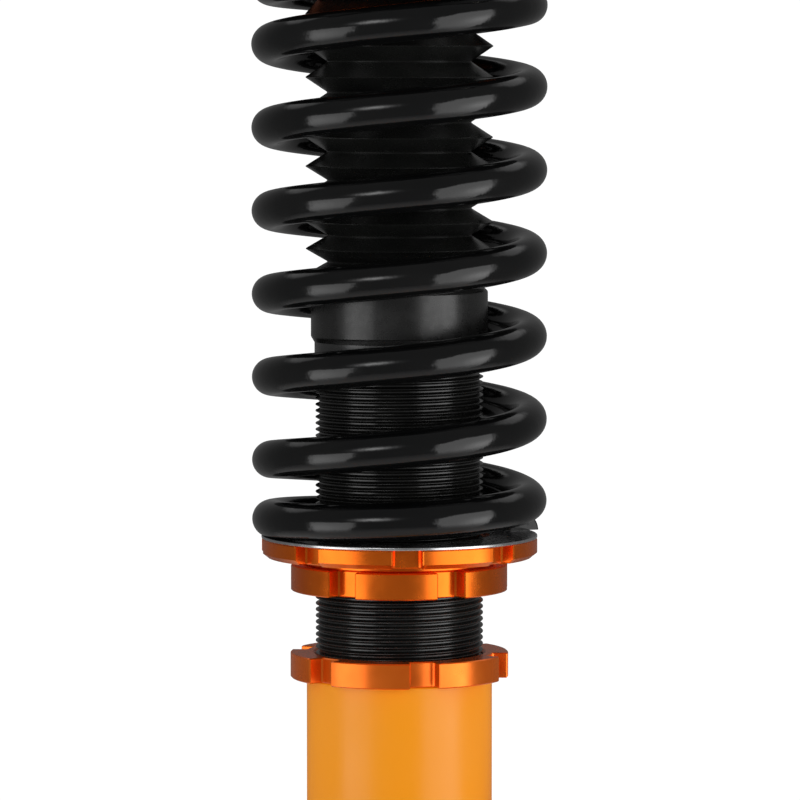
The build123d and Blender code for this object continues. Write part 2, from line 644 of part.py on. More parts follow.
STUD_ANGLES = (90, 210, 330)
stud_places = [
    (STUD_CIRCLE_R * cos(radians(a)), STUD_CIRCLE_R * sin(radians(a))) for a in STUD_ANGLES
]
STUD_HEAD_R, STUD_HEAD, STUD_KNURL_R = 5.5, 2.0, STUD_R + 0.3
LOBE_R, PLATE_R, WINDOW_LENGTH, WINDOW_WIDTH = 12.0, 52.0, 62.0, 39.0
with BuildPart() as camber_plate:
    with BuildSketch(level(HOUSING_TOP)):
        with BuildSketch(mode=Mode.PRIVATE) as lobes:
            Circle(PLATE_R)
            with Locations(*stud_places):
                Circle(LOBE_R)
        make_hull(lobes.sketch.edges())
        SlotOverall(WINDOW_LENGTH, WINDOW_WIDTH, mode=Mode.SUBTRACT)
        with GridLocations(2 * CAMBER_X, 2 * CAMBER_Y, 2, 2):
            SlotOverall(2 * CAMBER_TRAVEL + CAMBER_SLOT_WIDTH, CAMBER_SLOT_WIDTH, mode=Mode.SUBTRACT)
        with Locations(*stud_places):
            Circle(STUD_KNURL_R, mode=Mode.SUBTRACT)
    extrude(amount=PLATE_FACE - HOUSING_TOP)
    with BuildSketch(level(HOUSING_TOP)):
        with Locations(*stud_places):
            Circle(STUD_HEAD_R)
    extrude(amount=STUD_HEAD, mode=Mode.SUBTRACT)
save(camber_plate, "camber_plate")

with BuildPart() as mounting_studs:
    with BuildSketch(level(HOUSING_TOP)):
        with Locations(*stud_places):
            Circle(STUD_HEAD_R)
    extrude(amount=STUD_HEAD)
    with BuildSketch(level(HOUSING_TOP + STUD_HEAD)):
        with Locations(*stud_places):
            Circle(STUD_KNURL_R)
    extrude(amount=PLATE_FACE - HOUSING_TOP - STUD_HEAD)
    with BuildSketch(level(PLATE_FACE)):
        with Locations(*stud_places):
            Circle(STUD_R)
    extrude(amount=STUD_TOP - PLATE_FACE)
    chamfer(mounting_studs.edges().group_by(Axis.Z)[-1], length=2 * BREAK)
save(mounting_studs, "mounting_studs")

# Rod nut and damping adjuster ---------------------------------------------------------------------

SPACER_TOP, NUT_SEAT, HEX_TOP, NUT_TOP = 270.0, 272.5, 283.5, 286.0
with BuildPart() as top_spacer:
    ring(ROD_TOP_R, CLAMP_R, BALL_TOP, SPACER_TOP)
save(top_spacer, "top_spacer")

with BuildPart() as rod_washer:
    rod_washer_r = 14.0
    ring(ROD_TOP_R, rod_washer_r, SPACER_TOP, NUT_SEAT)
save(rod_washer, "rod_washer")

with BuildPart() as rod_nut:
    hex_half_width, collar_r = 11.0, 9.5
    with BuildSketch(level(NUT_SEAT)):
        RegularPolygon(hex_half_width, 6, major_radius=False)
        Circle(ROD_TOP_R, mode=Mode.SUBTRACT)
    extrude(amount=HEX_TOP - NUT_SEAT)
    ring(ROD_TOP_R, collar_r, HEX_TOP, NUT_TOP)
save(rod_nut, "rod_nut")

KNOB_BOTTOM, KNOB_TOP, KNOB_R, FLUTES = ROD_TOP + 0.5, ROD_TOP + 14, 8.0, 16
with BuildPart() as adjuster_knob:
    knob_bevel, flute_r, flute_depth = 1.0, 0.9, 0.5
    turned(
        (0, KNOB_BOTTOM),
        (KNOB_R - BREAK, KNOB_BOTTOM),
        (KNOB_R, KNOB_BOTTOM + BREAK),
        (KNOB_R, KNOB_TOP - knob_bevel),
        (KNOB_R - knob_bevel, KNOB_TOP),
        (0, KNOB_TOP),
    )
    flute_foot = KNOB_BOTTOM + 3
    with BuildSketch(level(flute_foot)):
        with PolarLocations(KNOB_R + flute_r - flute_depth, FLUTES):
            Circle(flute_r)
    extrude(amount=KNOB_TOP - flute_foot, mode=Mode.SUBTRACT)
save(adjuster_knob, "adjuster_knob")

with BuildPart() as adjuster_rod:
    needle_tip_r, needle_r, needle_foot, needle_taper = 0.6, 2.5, ROD_BOTTOM + 4, 8.0
    turned(
        (0, needle_foot),
        (needle_tip_r, needle_foot),
        (needle_r, needle_foot + needle_taper),
        (needle_r, KNOB_BOTTOM),
        (0, KNOB_BOTTOM),
    )
save(adjuster_rod, "adjuster_rod")
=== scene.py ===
import json
from collections import namedtuple
from math import asin, atan2, cos, hypot, pi, radians, sin, sqrt, tau

import bmesh
import bpy
from mathutils import Matrix, Vector


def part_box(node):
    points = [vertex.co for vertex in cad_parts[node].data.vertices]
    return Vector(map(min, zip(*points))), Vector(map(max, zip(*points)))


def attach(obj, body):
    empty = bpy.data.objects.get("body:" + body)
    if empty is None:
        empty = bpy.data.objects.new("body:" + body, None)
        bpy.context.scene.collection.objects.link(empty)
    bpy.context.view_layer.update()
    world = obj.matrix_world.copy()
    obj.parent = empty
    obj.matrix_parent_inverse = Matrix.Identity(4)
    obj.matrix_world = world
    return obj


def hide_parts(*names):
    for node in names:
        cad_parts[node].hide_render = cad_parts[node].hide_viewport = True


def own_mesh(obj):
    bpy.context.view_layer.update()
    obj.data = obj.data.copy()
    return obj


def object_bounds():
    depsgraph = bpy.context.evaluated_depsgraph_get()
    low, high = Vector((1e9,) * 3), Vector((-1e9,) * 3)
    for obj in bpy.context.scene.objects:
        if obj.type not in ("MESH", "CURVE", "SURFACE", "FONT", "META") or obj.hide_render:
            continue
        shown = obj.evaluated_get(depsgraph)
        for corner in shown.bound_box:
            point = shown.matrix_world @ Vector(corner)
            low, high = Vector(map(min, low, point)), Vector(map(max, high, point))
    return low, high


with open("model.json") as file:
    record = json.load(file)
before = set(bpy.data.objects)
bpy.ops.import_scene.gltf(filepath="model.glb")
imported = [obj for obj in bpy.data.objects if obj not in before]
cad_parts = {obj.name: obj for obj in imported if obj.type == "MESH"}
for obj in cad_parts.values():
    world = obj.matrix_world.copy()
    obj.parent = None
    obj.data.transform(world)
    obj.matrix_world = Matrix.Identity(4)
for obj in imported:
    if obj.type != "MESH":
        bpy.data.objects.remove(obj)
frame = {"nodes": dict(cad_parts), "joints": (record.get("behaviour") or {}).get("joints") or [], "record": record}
cad_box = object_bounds()

# The visual model of the coilover, built round its CAD frame. Lengths are in metres.
# Heights are read from the CAD nodes' boxes, and turned pieces stand on the damper axis, which is Z.
MM = 0.001
SEGMENTS = 192  # facets round a turned piece
SHARP = radians(40)  # edges that turn more than this stay crisp
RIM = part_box("bracket_tube")[1].z  # top rim of the bracket tube

Thread = namedtuple("Thread", "crest root pitch start end")


def lowest(node):
    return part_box(node)[0].z


def highest(node):
    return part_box(node)[1].z


def joint_range(name):
    """A sliding joint's two limits."""
    return next(j for j in frame["joints"] if j["name"] == name)["range_m"]


def radius_of(node):
    """Half the widest side of a turned node."""
    low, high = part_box(node)
    return max(high.x - low.x, high.y - low.y) / 2


# Mesh tools ---------------------------------------------------------------------------------------


def piece(name, mesh, crisp=True):
    """Links a mesh as an object with smooth faces, and keeps its turned edges crisp."""
    made = bpy.data.objects.new(name, mesh)
    bpy.context.scene.collection.objects.link(made)
    for face in mesh.polygons:
        face.use_smooth = True
    if crisp:
        mesh.set_sharp_from_angle(angle=SHARP)
        weighted = made.modifiers.new("even shading", "WEIGHTED_NORMAL")
        weighted.keep_sharp = True
        freeze(made)
    return made


def from_bmesh(name, bm, crisp=True):
    bmesh.ops.recalc_face_normals(bm, faces=bm.faces)
    mesh = bpy.data.meshes.new(name)
    bm.to_mesh(mesh)
    bm.free()
    return piece(name, mesh, crisp)


def freeze(made):
    """Applies all of a piece's modifiers."""
    depsgraph = bpy.context.evaluated_depsgraph_get()
    mesh = bpy.data.meshes.new_from_object(made.evaluated_get(depsgraph))
    made.modifiers.clear()
    made.data = mesh
    mesh.name = made.name


def join_rows(bm, low, high):
    """Faces between two rows of vertices round the axis. A row of one vertex is a tip."""
    count = max(len(low), len(high))
    for i in range(count):
        after = (i + 1) % count
        if len(low) == 1:
            bm.faces.new((low[0], high[after], high[i]))
        elif len(high) == 1:
            bm.faces.new((low[i], low[after], high[0]))
        else:
            bm.faces.new((low[i], low[after], high[after], high[i]))


def add_row(bm, outline, height):
    return [bm.verts.new((x, y, height)) for x, y in outline]


def loft(name, loops, closed=True):
    """A skin through (outline, height) loops of equally many points, closed back to the first."""
    bm = bmesh.new()
    rows = [add_row(bm, outline, height) for outline, height in loops]
    for low, high in zip(rows, rows[1:] + rows[:1] if closed else rows[1:]):
        join_rows(bm, low, high)
    return from_bmesh(name, bm)


def circle(radius, count=SEGMENTS):
    if radius == 0:
        return [(0.0, 0.0)]
    return [(radius * cos(tau * i / count), radius * sin(tau * i / count)) for i in range(count)]


def moved(outline, x, y):
    return [(px + x, py + y) for px, py in outline]


def inset(outline, amount):
    """An anticlockwise outline moved inwards, square to each of its sides."""
    result = []
    for i, (x, y) in enumerate(outline):
        across = [0.0, 0.0]
        for (ax, ay), (bx, by) in ((outline[i - 1], (x, y)), ((x, y), outline[(i + 1) % len(outline)])):
            side = hypot(bx - ax, by - ay)
            across[0] -= (by - ay) / side
            across[1] += (bx - ax) / side
        scale = 2 * amount / (across[0] ** 2 + across[1] ** 2)
        result.append((x + across[0] * scale, y + across[1] * scale))
    return result


def shadow(outline, radius):
    """The outline's points brought to one radius, each at its own angle."""
    return [(radius * x / hypot(x, y), radius * y / hypot(x, y)) for x, y in outline]


def softened(profile, radius, steps=3):
    """A closed profile with each of its corners rounded."""
    result = []
    for i, corner in enumerate(profile):
        here = Vector(corner)
        before, after = Vector(profile[i - 1]) - here, Vector(profile[(i + 1) % len(profile)]) - here
        reach = min(radius, before.length * 0.45, after.length * 0.45)
        start, end = here + before.normalized() * reach, here + after.normalized() * reach
        if corner[0] == 0 or before.normalized().dot(after.normalized()) < -0.98:
            result.append(tuple(here))
            continue
        for step in range(steps + 1):
            t = step / steps
            result.append(tuple(start * (1 - t) ** 2 + here * 2 * t * (1 - t) + end * t * t))
    return result


def add_thread(bm, low, high, thread):
    """A right-hand thread between two root rings, its two ends cut square."""
    count, pitch, root, crest = len(low), thread.pitch, thread.root, thread.crest
    turns = int((thread.end - thread.start) / pitch) - 1
    start = (thread.start + thread.end - (turns + 1) * pitch) / 2
    shoulder = crest - 0.05 * (crest - root)
    shape = [(root, 0.1), (shoulder, 0.40), (crest, 0.45), (crest, 0.55), (shoulder, 0.60), (root, 0.9)]

    def vertex(row, radius, part):
        angle, height = tau * row / count, start + pitch * (row / count + part)
        return bm.verts.new((radius * cos(angle), radius * sin(angle), height))

    last = turns * count
    roots = [vertex(row, root, 0.0) for row in range(last + count + 1)]
    rows = []
    for row in range(last + 1):
        rows.append([roots[row]] + [vertex(row, r, part) for r, part in shape] + [roots[row + count]])
    for here, after in zip(rows, rows[1:]):
        for j in range(len(here) - 1):
            bm.faces.new((here[j], after[j], after[j + 1], here[j + 1]))
    bm.faces.new(rows[0][::-1])
    bm.faces.new(rows[-1])
    for s in range(count):
        after = (s + 1) % count
        seam = [roots[0]] if after == 0 else []
        bm.faces.new([low[s], low[after], *seam, roots[s + 1], roots[s]])
        seam = [roots[last + count]] if s == 0 else []
        bm.faces.new([roots[last + s], roots[last + s + 1], high[after], high[s], *seam])


def turned(name, steps, count=SEGMENTS, closed=True):
    """A piece turned about Z from (radius, height) steps, any of which may be a Thread."""
    bm = bmesh.new()
    rows, threaded = [], []
    for step in steps:
        if isinstance(step, Thread):
            rows += [add_row(bm, circle(step.root, count), height) for height in (step.start, step.end)]
            threaded.append(len(rows) - 2)
            add_thread(bm, rows[-2], rows[-1], step)
        else:
            rows.append(add_row(bm, circle(step[0], count), step[1]))
    for i, (low, high) in enumerate(zip(rows, rows[1:] + rows[:1] if closed else rows[1:])):
        if i not in threaded:
            join_rows(bm, low, high)
    return from_bmesh(name, bm)


def plate(name, outlines, bottom, top, bevel=0.4 * MM):
    """A flat plate with broken edges. The first outline is its rim and the others are holes."""
    curve = bpy.data.curves.new(name, "CURVE")
    curve.dimensions, curve.fill_mode = "2D", "BOTH"
    curve.extrude, curve.bevel_depth, curve.offset = (top - bottom) / 2 - bevel, bevel, -bevel
    curve.bevel_resolution = 1
    for outline in outlines:
        spline = curve.splines.new("POLY")
        spline.points.add(len(outline) - 1)
        for point, (x, y) in zip(spline.points, outline):
            point.co = (x, y, 0, 1)
        spline.use_cyclic_u = True
    drawn = bpy.data.objects.new(name + "_curve", curve)
    bpy.context.scene.collection.objects.link(drawn)
    depsgraph = bpy.context.evaluated_depsgraph_get()
    mesh = bpy.data.meshes.new_from_object(drawn.evaluated_get(depsgraph))
    bpy.data.objects.remove(drawn)
    bm = bmesh.new()
    bm.from_mesh(mesh)
    bmesh.ops.remove_doubles(bm, verts=bm.verts, dist=1e-6)
    bmesh.ops.translate(bm, verts=bm.verts, vec=(0, 0, (top + bottom) / 2))
    return from_bmesh(name, bm)


def joined(name, *parts):
    """Several meshes as one piece."""
    bm = bmesh.new()
    for part in parts:
        bm.from_mesh(part.data)
        bpy.data.objects.remove(part)
    mesh = bpy.data.meshes.new(name)
    bm.to_mesh(mesh)
    bm.free()
    return piece(name, mesh)


def bent_sheet(name, path, edges, thickness, holes=(), bevel=0.6 * MM):
    """Sheet metal inside an outer path, which runs clockwise in plan. edges gives its two heights."""
    bm = bmesh.new()
    rows = [[bm.verts.new((x, y, height)) for height in edges(x, y)] for x, y in path]
    for here, after in zip(rows, rows[1:]):
        bm.faces.new((here[0], after[0], after[1], here[1]))
    mesh = bpy.data.meshes.new(name)
    bm.to_mesh(mesh)
    bm.free()
    made = bpy.data.objects.new(name, mesh)
    bpy.context.scene.collection.objects.link(made)
    solid = made.modifiers.new("thickness", "SOLIDIFY")
    solid.thickness, solid.offset, solid.use_even_offset = thickness, 1.0, True
    cutters, reach = [], 0.1
    for x, height, radius in holes:
        tool = loft("cutter", [([(0.0, 0.0)], -reach), (circle(radius, 64), -reach),
                               (circle(radius, 64), reach), ([(0.0, 0.0)], reach)], closed=False)
        tool.rotation_euler, tool.location = (pi / 2, 0, 0), (x, 0, height)
        cut = made.modifiers.new("hole", "BOOLEAN")
        cut.object, cut.operation, cut.solver = tool, "DIFFERENCE", "EXACT"
        cutters.append(tool)
    edge = made.modifiers.new("broken edges", "BEVEL")
    edge.width, edge.segments, edge.limit_method, edge.angle_limit = bevel, 2, "ANGLE", radians(50)
    bpy.context.view_layer.update()
    freeze(made)
    for tool in cutters:
        bpy.data.objects.remove(tool)
    mesh = made.data
    bpy.data.objects.remove(made)
    bm = bmesh.new()
    bm.from_mesh(mesh)
    return from_bmesh(name, bm)


def bead(name, route, radius, ripple=0.9 * MM):
    """A weld bead along a route: overlapping half-moon ripples."""
    around, bm, rows, run = 12, bmesh.new(), [], 0.0
    for i, here in enumerate(route):
        here = Vector(here)
        before, after = Vector(route[max(i - 1, 0)]), Vector(route[min(i + 1, len(route) - 1)])
        ahead = (after - before).normalized()
        run += (here - before).length
        side = ahead.cross(Vector((0, 0, 1))).normalized()
        up = side.cross(ahead)
        wave = (run / ripple) % 1.0
        swell = radius * (0.86 + 0.14 * sqrt(1 - wave * wave * 0.9))
        taper = min(1.0, 0.35 + 0.65 * min(i, len(route) - 1 - i) / 6)
        ring = [here + (side * cos(tau * k / around) + up * sin(tau * k / around)) * swell * taper
                for k in range(around)]
        rows.append([bm.verts.new(point) for point in ring])
    for low, high in zip(rows, rows[1:]):
        join_rows(bm, low, high)
    bm.faces.new(rows[0])
    bm.faces.new(rows[-1])
    return from_bmesh(name, bm, crisp=False)


# Materials ----------------------------------------------------------------------------------------


def math_node(nodes, links, operation, *values):
    """A math node fed by numbers or by other nodes' outputs."""
    node = nodes.new("ShaderNodeMath")
    node.operation = operation
    for socket, value in zip(node.inputs, values):
        if isinstance(value, (int, float)):
            socket.default_value = value
        else:
            links.new(value, socket)
    return node.outputs[0]


class Finish:
    """A procedural material: a principled shader and the textures that vary it."""

    def __init__(self, name, colour, roughness, metallic=0.0, **settings):
        self.material = bpy.data.materials.new(name)
        self.material.use_nodes = True
        self.nodes, self.links = self.material.node_tree.nodes, self.material.node_tree.links
        self.shader = self.nodes["Principled BSDF"]
        self.shader.inputs["Base Color"].default_value = (*colour, 1)
        self.shader.inputs["Roughness"].default_value = roughness
        self.shader.inputs["Metallic"].default_value = metallic
        for socket, value in settings.items():
            self.shader.inputs[socket.replace("_", " ").title().replace("Ior", "IOR")].default_value = value
        self.place = self.nodes.new("ShaderNodeTexCoord").outputs["Object"]

    def math(self, operation, *values):
        return math_node(self.nodes, self.links, operation, *values)

    def noise(self, scale, detail=3.0, stretch=(1, 1, 1), place=None, roughness=0.55):
        """Noise with scale features a metre, drawn out along the axes where stretch is small."""
        mapping = self.nodes.new("ShaderNodeMapping")
        mapping.inputs["Scale"].default_value = stretch
        self.links.new(place or self.place, mapping.inputs["Vector"])
        texture = self.nodes.new("ShaderNodeTexNoise")
        texture.inputs["Scale"].default_value = scale
        texture.inputs["Detail"].default_value = detail
        texture.inputs["Roughness"].default_value = roughness
        self.links.new(mapping.outputs[0], texture.inputs["Vector"])
        return texture.outputs["Fac"]

    def cells(self, scale):
        texture = self.nodes.new("ShaderNodeTexVoronoi")
        texture.inputs["Scale"].default_value = scale
        self.links.new(self.place, texture.inputs["Vector"])
        return texture.outputs["Distance"]

    def tool_marks(self, scale, detail=2.0):
        """The fine rings that a lathe leaves round the damper axis, on walls and faces alike."""
        split = self.nodes.new("ShaderNodeSeparateXYZ")
        self.links.new(self.place, split.inputs[0])
        x, y, height = split.outputs
        square = self.math("ADD", self.math("MULTIPLY", x, x), self.math("MULTIPLY", y, y))
        radius = self.math("SQRT", square)
        both = self.nodes.new("ShaderNodeCombineXYZ")
        self.links.new(radius, both.inputs[0])
        self.links.new(height, both.inputs[1])
        return self.noise(scale, detail, place=both.outputs[0], roughness=0.7)

    def spread(self, factor, low, high, start=0.3, end=0.7):
        """factor's start to end as low to high."""
        node = self.nodes.new("ShaderNodeMapRange")
        for socket, value in zip(node.inputs[1:5], (start, end, low, high)):
            socket.default_value = value
        self.links.new(factor, node.inputs[0])
        return node.outputs[0]

    def vary_roughness(self, factor, low, high, start=0.3, end=0.7):
        self.links.new(self.spread(factor, low, high, start, end), self.shader.inputs["Roughness"])

    def vary_colour(self, factor, first, second, start=0.3, end=0.7):
        ramp = self.nodes.new("ShaderNodeValToRGB")
        ramp.color_ramp.elements[0].position, ramp.color_ramp.elements[1].position = start, end
        ramp.color_ramp.elements[0].color, ramp.color_ramp.elements[1].color = (*first, 1), (*second, 1)
        self.links.new(factor, ramp.inputs[0])
        self.links.new(ramp.outputs[0], self.shader.inputs["Base Color"])

    def bump(self, height, depth, strength=1.0):
        """Raises the surface by depth metres where height is 1, on top of any bump so far."""
        node = self.nodes.new("ShaderNodeBump")
        node.inputs["Distance"].default_value = depth
        node.inputs["Strength"].default_value = strength
        self.links.new(height, node.inputs["Height"])
        before = self.shader.inputs["Normal"].links
        if before:
            self.links.new(before[0].from_socket, node.inputs["Normal"])
        self.links.new(node.outputs[0], self.shader.inputs["Normal"])
        return self


def orange_paint():
    """Gloss enamel, soft in its reflections, with orange peel and a faint change of depth."""
    made = Finish("orange_paint", (0.92, 0.31, 0.003), 0.34, ior=1.38)
    made.vary_colour(made.noise(14, 2), (0.89, 0.292, 0.002), (0.95, 0.328, 0.005))
    made.vary_roughness(made.noise(45), 0.28, 0.4)
    made.bump(made.noise(420, 2), 0.00004)
    made.bump(made.cells(55), 0.00003)
    return made.material


def gold_anodised(name="gold_anodised", haze_and_sheen=0.12):
    """Bright-turned aluminium, dyed orange gold. The oxide film scatters some of the light as haze; a larger value
    gives a brighter copy, a painted reflection of nearby parts.
    """
    made = Finish(name, (0.86, 0.16, 0.010), 0.24, 1 - haze_and_sheen)
    made.vary_colour(made.noise(80, 4), (0.84, 0.148, 0.008), (0.9, 0.178, 0.012))
    marks = made.tool_marks(2600)
    made.vary_roughness(made.noise(220, 4), 0.21, 0.28)
    made.bump(marks, 0.0000025)
    return made.material


def black_coil():
    """Gloss black powder coat on the spring wire, with its fine orange peel."""
    made = Finish("black_coil", (0.003, 0.003, 0.0032), 0.12, ior=1.42)
    made.vary_colour(made.noise(30), (0.0022, 0.0024, 0.0026), (0.0046, 0.0046, 0.0046))
    made.vary_roughness(made.noise(120, 5), 0.07, 0.13)
    made.bump(made.noise(260, 2), 0.00006)
    made.bump(made.noise(1600, 2), 0.000005)
    return made.material


def rubber_boot():
    """Moulded black rubber with a slight bloom."""
    made = Finish("rubber_boot", (0.009, 0.010, 0.009), 0.26, ior=1.5)
    made.vary_colour(made.noise(55, 5), (0.007, 0.0075, 0.007), (0.014, 0.0145, 0.0135))
    made.vary_roughness(made.noise(160, 5), 0.2, 0.34)
    made.bump(made.noise(2400, 3), 0.00001)
    made.bump(made.noise(180, 2), 0.00006)
    return made.material


def black_body():
    """Black-plated thread with a thin film of oil."""
    made = Finish("black_body", (0.006, 0.006, 0.006), 0.22, ior=1.5)
    made.vary_colour(made.noise(70, 4), (0.004, 0.004, 0.004), (0.012, 0.012, 0.011))
    made.vary_roughness(made.noise(300, 4), 0.16, 0.32)
    made.bump(made.tool_marks(5000), 0.000004)
    return made.material


def blacked_steel():
    """The ground neck above the thread, blacked and a little brighter than the cap."""
    made = Finish("blacked_steel", (0.012, 0.012, 0.012), 0.26, ior=1.8)
    made.vary_colour(made.noise(70, 4), (0.009, 0.009, 0.009), (0.016, 0.016, 0.016))
    made.vary_roughness(made.noise(260, 4), 0.22, 0.32)
    made.bump(made.tool_marks(4200), 0.000004)
    return made.material


def black_cap():
    """Satin black coating over turned steel."""
    made = Finish("black_cap", (0.008, 0.008, 0.008), 0.27, ior=1.5)
    made.vary_colour(made.noise(90, 5), (0.006, 0.006, 0.006), (0.013, 0.013, 0.0125))
    made.vary_roughness(made.noise(350, 5), 0.23, 0.33)
    made.bump(made.tool_marks(3200), 0.000006)
    made.bump(made.noise(1500, 3), 0.000008)
    return made.material


def steel(name, colour, rough, marks=3000, depth=0.000004):
    """Bare or plated steel with turning marks round the axis and slight stains."""
    made = Finish(name, colour, rough, 1.0)
    dull = tuple(part * 0.82 for part in colour)
    made.vary_colour(made.noise(60, 5), dull, colour)
    made.vary_roughness(made.noise(240, 5), rough * 0.8, rough * 1.35)
    made.bump(made.tool_marks(marks), depth)
    return made.material


def bronze():
    made = Finish("bronze", (0.58, 0.33, 0.13), 0.3, 1.0)
    made.vary_colour(made.noise(90, 5), (0.42, 0.23, 0.09), (0.64, 0.38, 0.16))
    made.bump(made.tool_marks(2400), 0.000005)
    return made.material


def seal_rubber():
    made = Finish("seal_rubber", (0.012, 0.012, 0.012), 0.5)
    made.vary_roughness(made.noise(300, 4), 0.4, 0.62)
    made.bump(made.noise(1800, 3), 0.00001)
    return made.material


def white_band():
    made = Finish("white_band", (0.62, 0.6, 0.5), 0.5)
    made.vary_colour(made.noise(120, 4), (0.52, 0.5, 0.41), (0.68, 0.66, 0.57))
    made.bump(made.noise(900, 3), 0.00001)
    return made.material


def foam():
    """Microcellular polyurethane: a skin of small closed bubbles."""
    made = Finish("foam", (0.62, 0.5, 0.2), 0.75)
    made.vary_colour(made.noise(70, 5), (0.5, 0.38, 0.13), (0.68, 0.56, 0.25))
    made.bump(made.cells(900), 0.0003)
    made.bump(made.noise(1800, 3), 0.00006)
    return made.material


def zinc_steel():
    """Zinc plate: pale, with a faint straw and blue cast."""
    made = Finish("zinc_steel", (0.62, 0.61, 0.57), 0.28, 1.0)
    made.vary_colour(made.noise(110, 5), (0.56, 0.56, 0.58), (0.68, 0.65, 0.53))
    made.vary_roughness(made.noise(420, 4), 0.22, 0.4)
    made.bump(made.noise(2200, 3), 0.000006)
    return made.material


def black_bolt():
    made = Finish("black_bolt", (0.02, 0.019, 0.018), 0.35, 0.6)
    made.vary_colour(made.noise(260, 4), (0.012, 0.012, 0.013), (0.034, 0.03, 0.027))
    made.vary_roughness(made.noise(500, 4), 0.28, 0.46)
    made.bump(made.noise(1800, 3), 0.00001)
    return made.material


def plate_black():
    """Fine-textured black powder coat on the camber plate."""
    made = Finish("plate_black", (0.012, 0.012, 0.013), 0.42)
    made.vary_colour(made.noise(40, 4), (0.009, 0.009, 0.010), (0.017, 0.017, 0.017))
    made.vary_roughness(made.noise(260, 4), 0.36, 0.5)
    made.bump(made.noise(1300, 3), 0.00003)
    return made.material


def housing_aluminium():
    """The mount's milled aluminium, dyed like the rings, with straight cutter marks."""
    made = Finish("housing_aluminium", (0.86, 0.16, 0.010), 0.26, 0.88)
    made.vary_colour(made.noise(70, 4), (0.82, 0.146, 0.008), (0.9, 0.178, 0.012))
    made.vary_roughness(made.noise(200, 4), 0.19, 0.3)
    made.bump(made.noise(1400, 2, stretch=(1, 0.02, 0.2)), 0.000005)
    return made.material


for placeholder in list(bpy.data.materials):
    placeholder.name += "_cad"

FINISHES = {
    "orange_paint": orange_paint(),
    "gold_anodised": gold_anodised(),
    "rubber_boot": rubber_boot(),
    "black_body": black_body(),
    "black_cap": black_cap(),
    "black_coil": black_coil(),
    "washer_steel": steel("washer_steel", (0.66, 0.66, 0.67), 0.24),
    "chromed_rod": steel("chromed_rod", (0.72, 0.73, 0.75), 0.08, 5200, 0.000001),
    "machined_aluminium": steel("machined_aluminium", (0.7, 0.71, 0.73), 0.3, 1800, 0.000006),
    "bearing_steel": steel("bearing_steel", (0.6, 0.6, 0.61), 0.14, 4200, 0.000002),
    "bronze": bronze(),
    "seal_rubber": seal_rubber(),
    "white_band": white_band(),
    "foam": foam(),
    "zinc_steel": zinc_steel(),
    "black_bolt": black_bolt(),
    "plate_black": plate_black(),
    "housing_aluminium": housing_aluminium(),
}


def mount(made, body, slot, *nodes):
    """Paints a piece, puts it on its body and hides the CAD nodes that it stands for."""
    made.data.materials.clear()
    made.data.materials.append(FINISHES[slot])
    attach(made, body)
    if nodes:
        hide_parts(*nodes)
    return made


# Lower bracket ------------------------------------------------------------------------------------

TUBE_R, TUBE_BORE_R = radius_of("bracket_tube"), 27.0 * MM
SADDLE_R = TUBE_R + 0.05 * MM


def bracket_tube():
    low, top, lead_in = lowest("bracket_tube"), highest("bracket_tube"), 0.8 * MM
    profile = [
        (TUBE_BORE_R, low),
        (TUBE_R, low),
        (TUBE_R, top),
        (TUBE_BORE_R + lead_in, top),
        (TUBE_BORE_R, top - lead_in),
    ]
    mount(turned("bracket_tube_painted", softened(profile, 0.7 * MM)), "lower_bracket", "orange_paint",
          "bracket_tube")


def smooth_step(t):
    t = min(1.0, max(0.0, t))
    return t * t * (3 - 2 * t)


def knuckle_bracket():
    """The pressed saddle round the tube, its two ears and the weld beads along its edges."""
    low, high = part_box("knuckle_bracket")
    thickness, bend_r, reach = 5 * MM, 12 * MM, high.x
    ear_y = frame["record"]["mounts"][0]["dims"]["length_mm"] * MM / 2
    outer_r = SADDLE_R + thickness
    centre = (sqrt((outer_r + bend_r) ** 2 - (ear_y + bend_r) ** 2), ear_y + bend_r)
    turn = atan2(centre[1], centre[0])
    corner_r, back_step, slope_start, slope = 12 * MM, 18 * MM, -6 * MM, 28 * MM

    def edges(x, _):
        step = back_step * (1 - smooth_step((x - slope_start) / slope))
        past = max(0.0, x - (reach - corner_r))
        step += corner_r - sqrt(max(0.0, corner_r ** 2 - past ** 2))
        return low.z + step, high.z - step

    ear = [(reach - corner_r * (1 - cos(pi / 2 * i / 8)) * 0.998, ear_y) for i in range(9)]
    ear += [(reach - corner_r - (reach - corner_r - centre[0]) * i / 6, ear_y) for i in range(1, 6)]
    bend = []
    for i in range(13):
        angle = -pi / 2 - (pi / 2 - turn) * i / 12
        bend.append((centre[0] + bend_r * cos(angle), centre[1] + bend_r * sin(angle)))
    half = ear + bend
    steps = 64
    arc = [turn + (tau - 2 * turn) * i / steps for i in range(1, steps)]
    saddle = [(outer_r * cos(a), outer_r * sin(a)) for a in arc]
    path = half + saddle + [(x, -y) for x, y in reversed(half)]
    bolts = [(m["pos_m"][0], m["pos_m"][2], m["dims"]["r_mm"] * MM)
             for m in frame["record"]["mounts"] if m["name"].startswith("knuckle_bolt")]
    sheet = bent_sheet("knuckle_bracket_pressed", path[::-1], edges, thickness, bolts, bevel=0.8 * MM)
    mount(sheet, "lower_bracket", "orange_paint", "knuckle_bracket")
    bead_r, first, last = 2.1 * MM, radians(62), radians(298)
    count = 420
    for name, edge, side in (("saddle_weld_lower", 0, -1), ("saddle_weld_upper", 1, 1)):
        route = []
        for i in range(count + 1):
            a = first + (last - first) * i / count
            x, y = (TUBE_R + 1.3 * MM) * cos(a), (TUBE_R + 1.3 * MM) * sin(a)
            route.append((x, y, edges(outer_r * cos(a), y)[edge] + side * 0.4 * MM))
        mount(bead(name, route, bead_r, 1.5 * MM), "lower_bracket", "orange_paint")


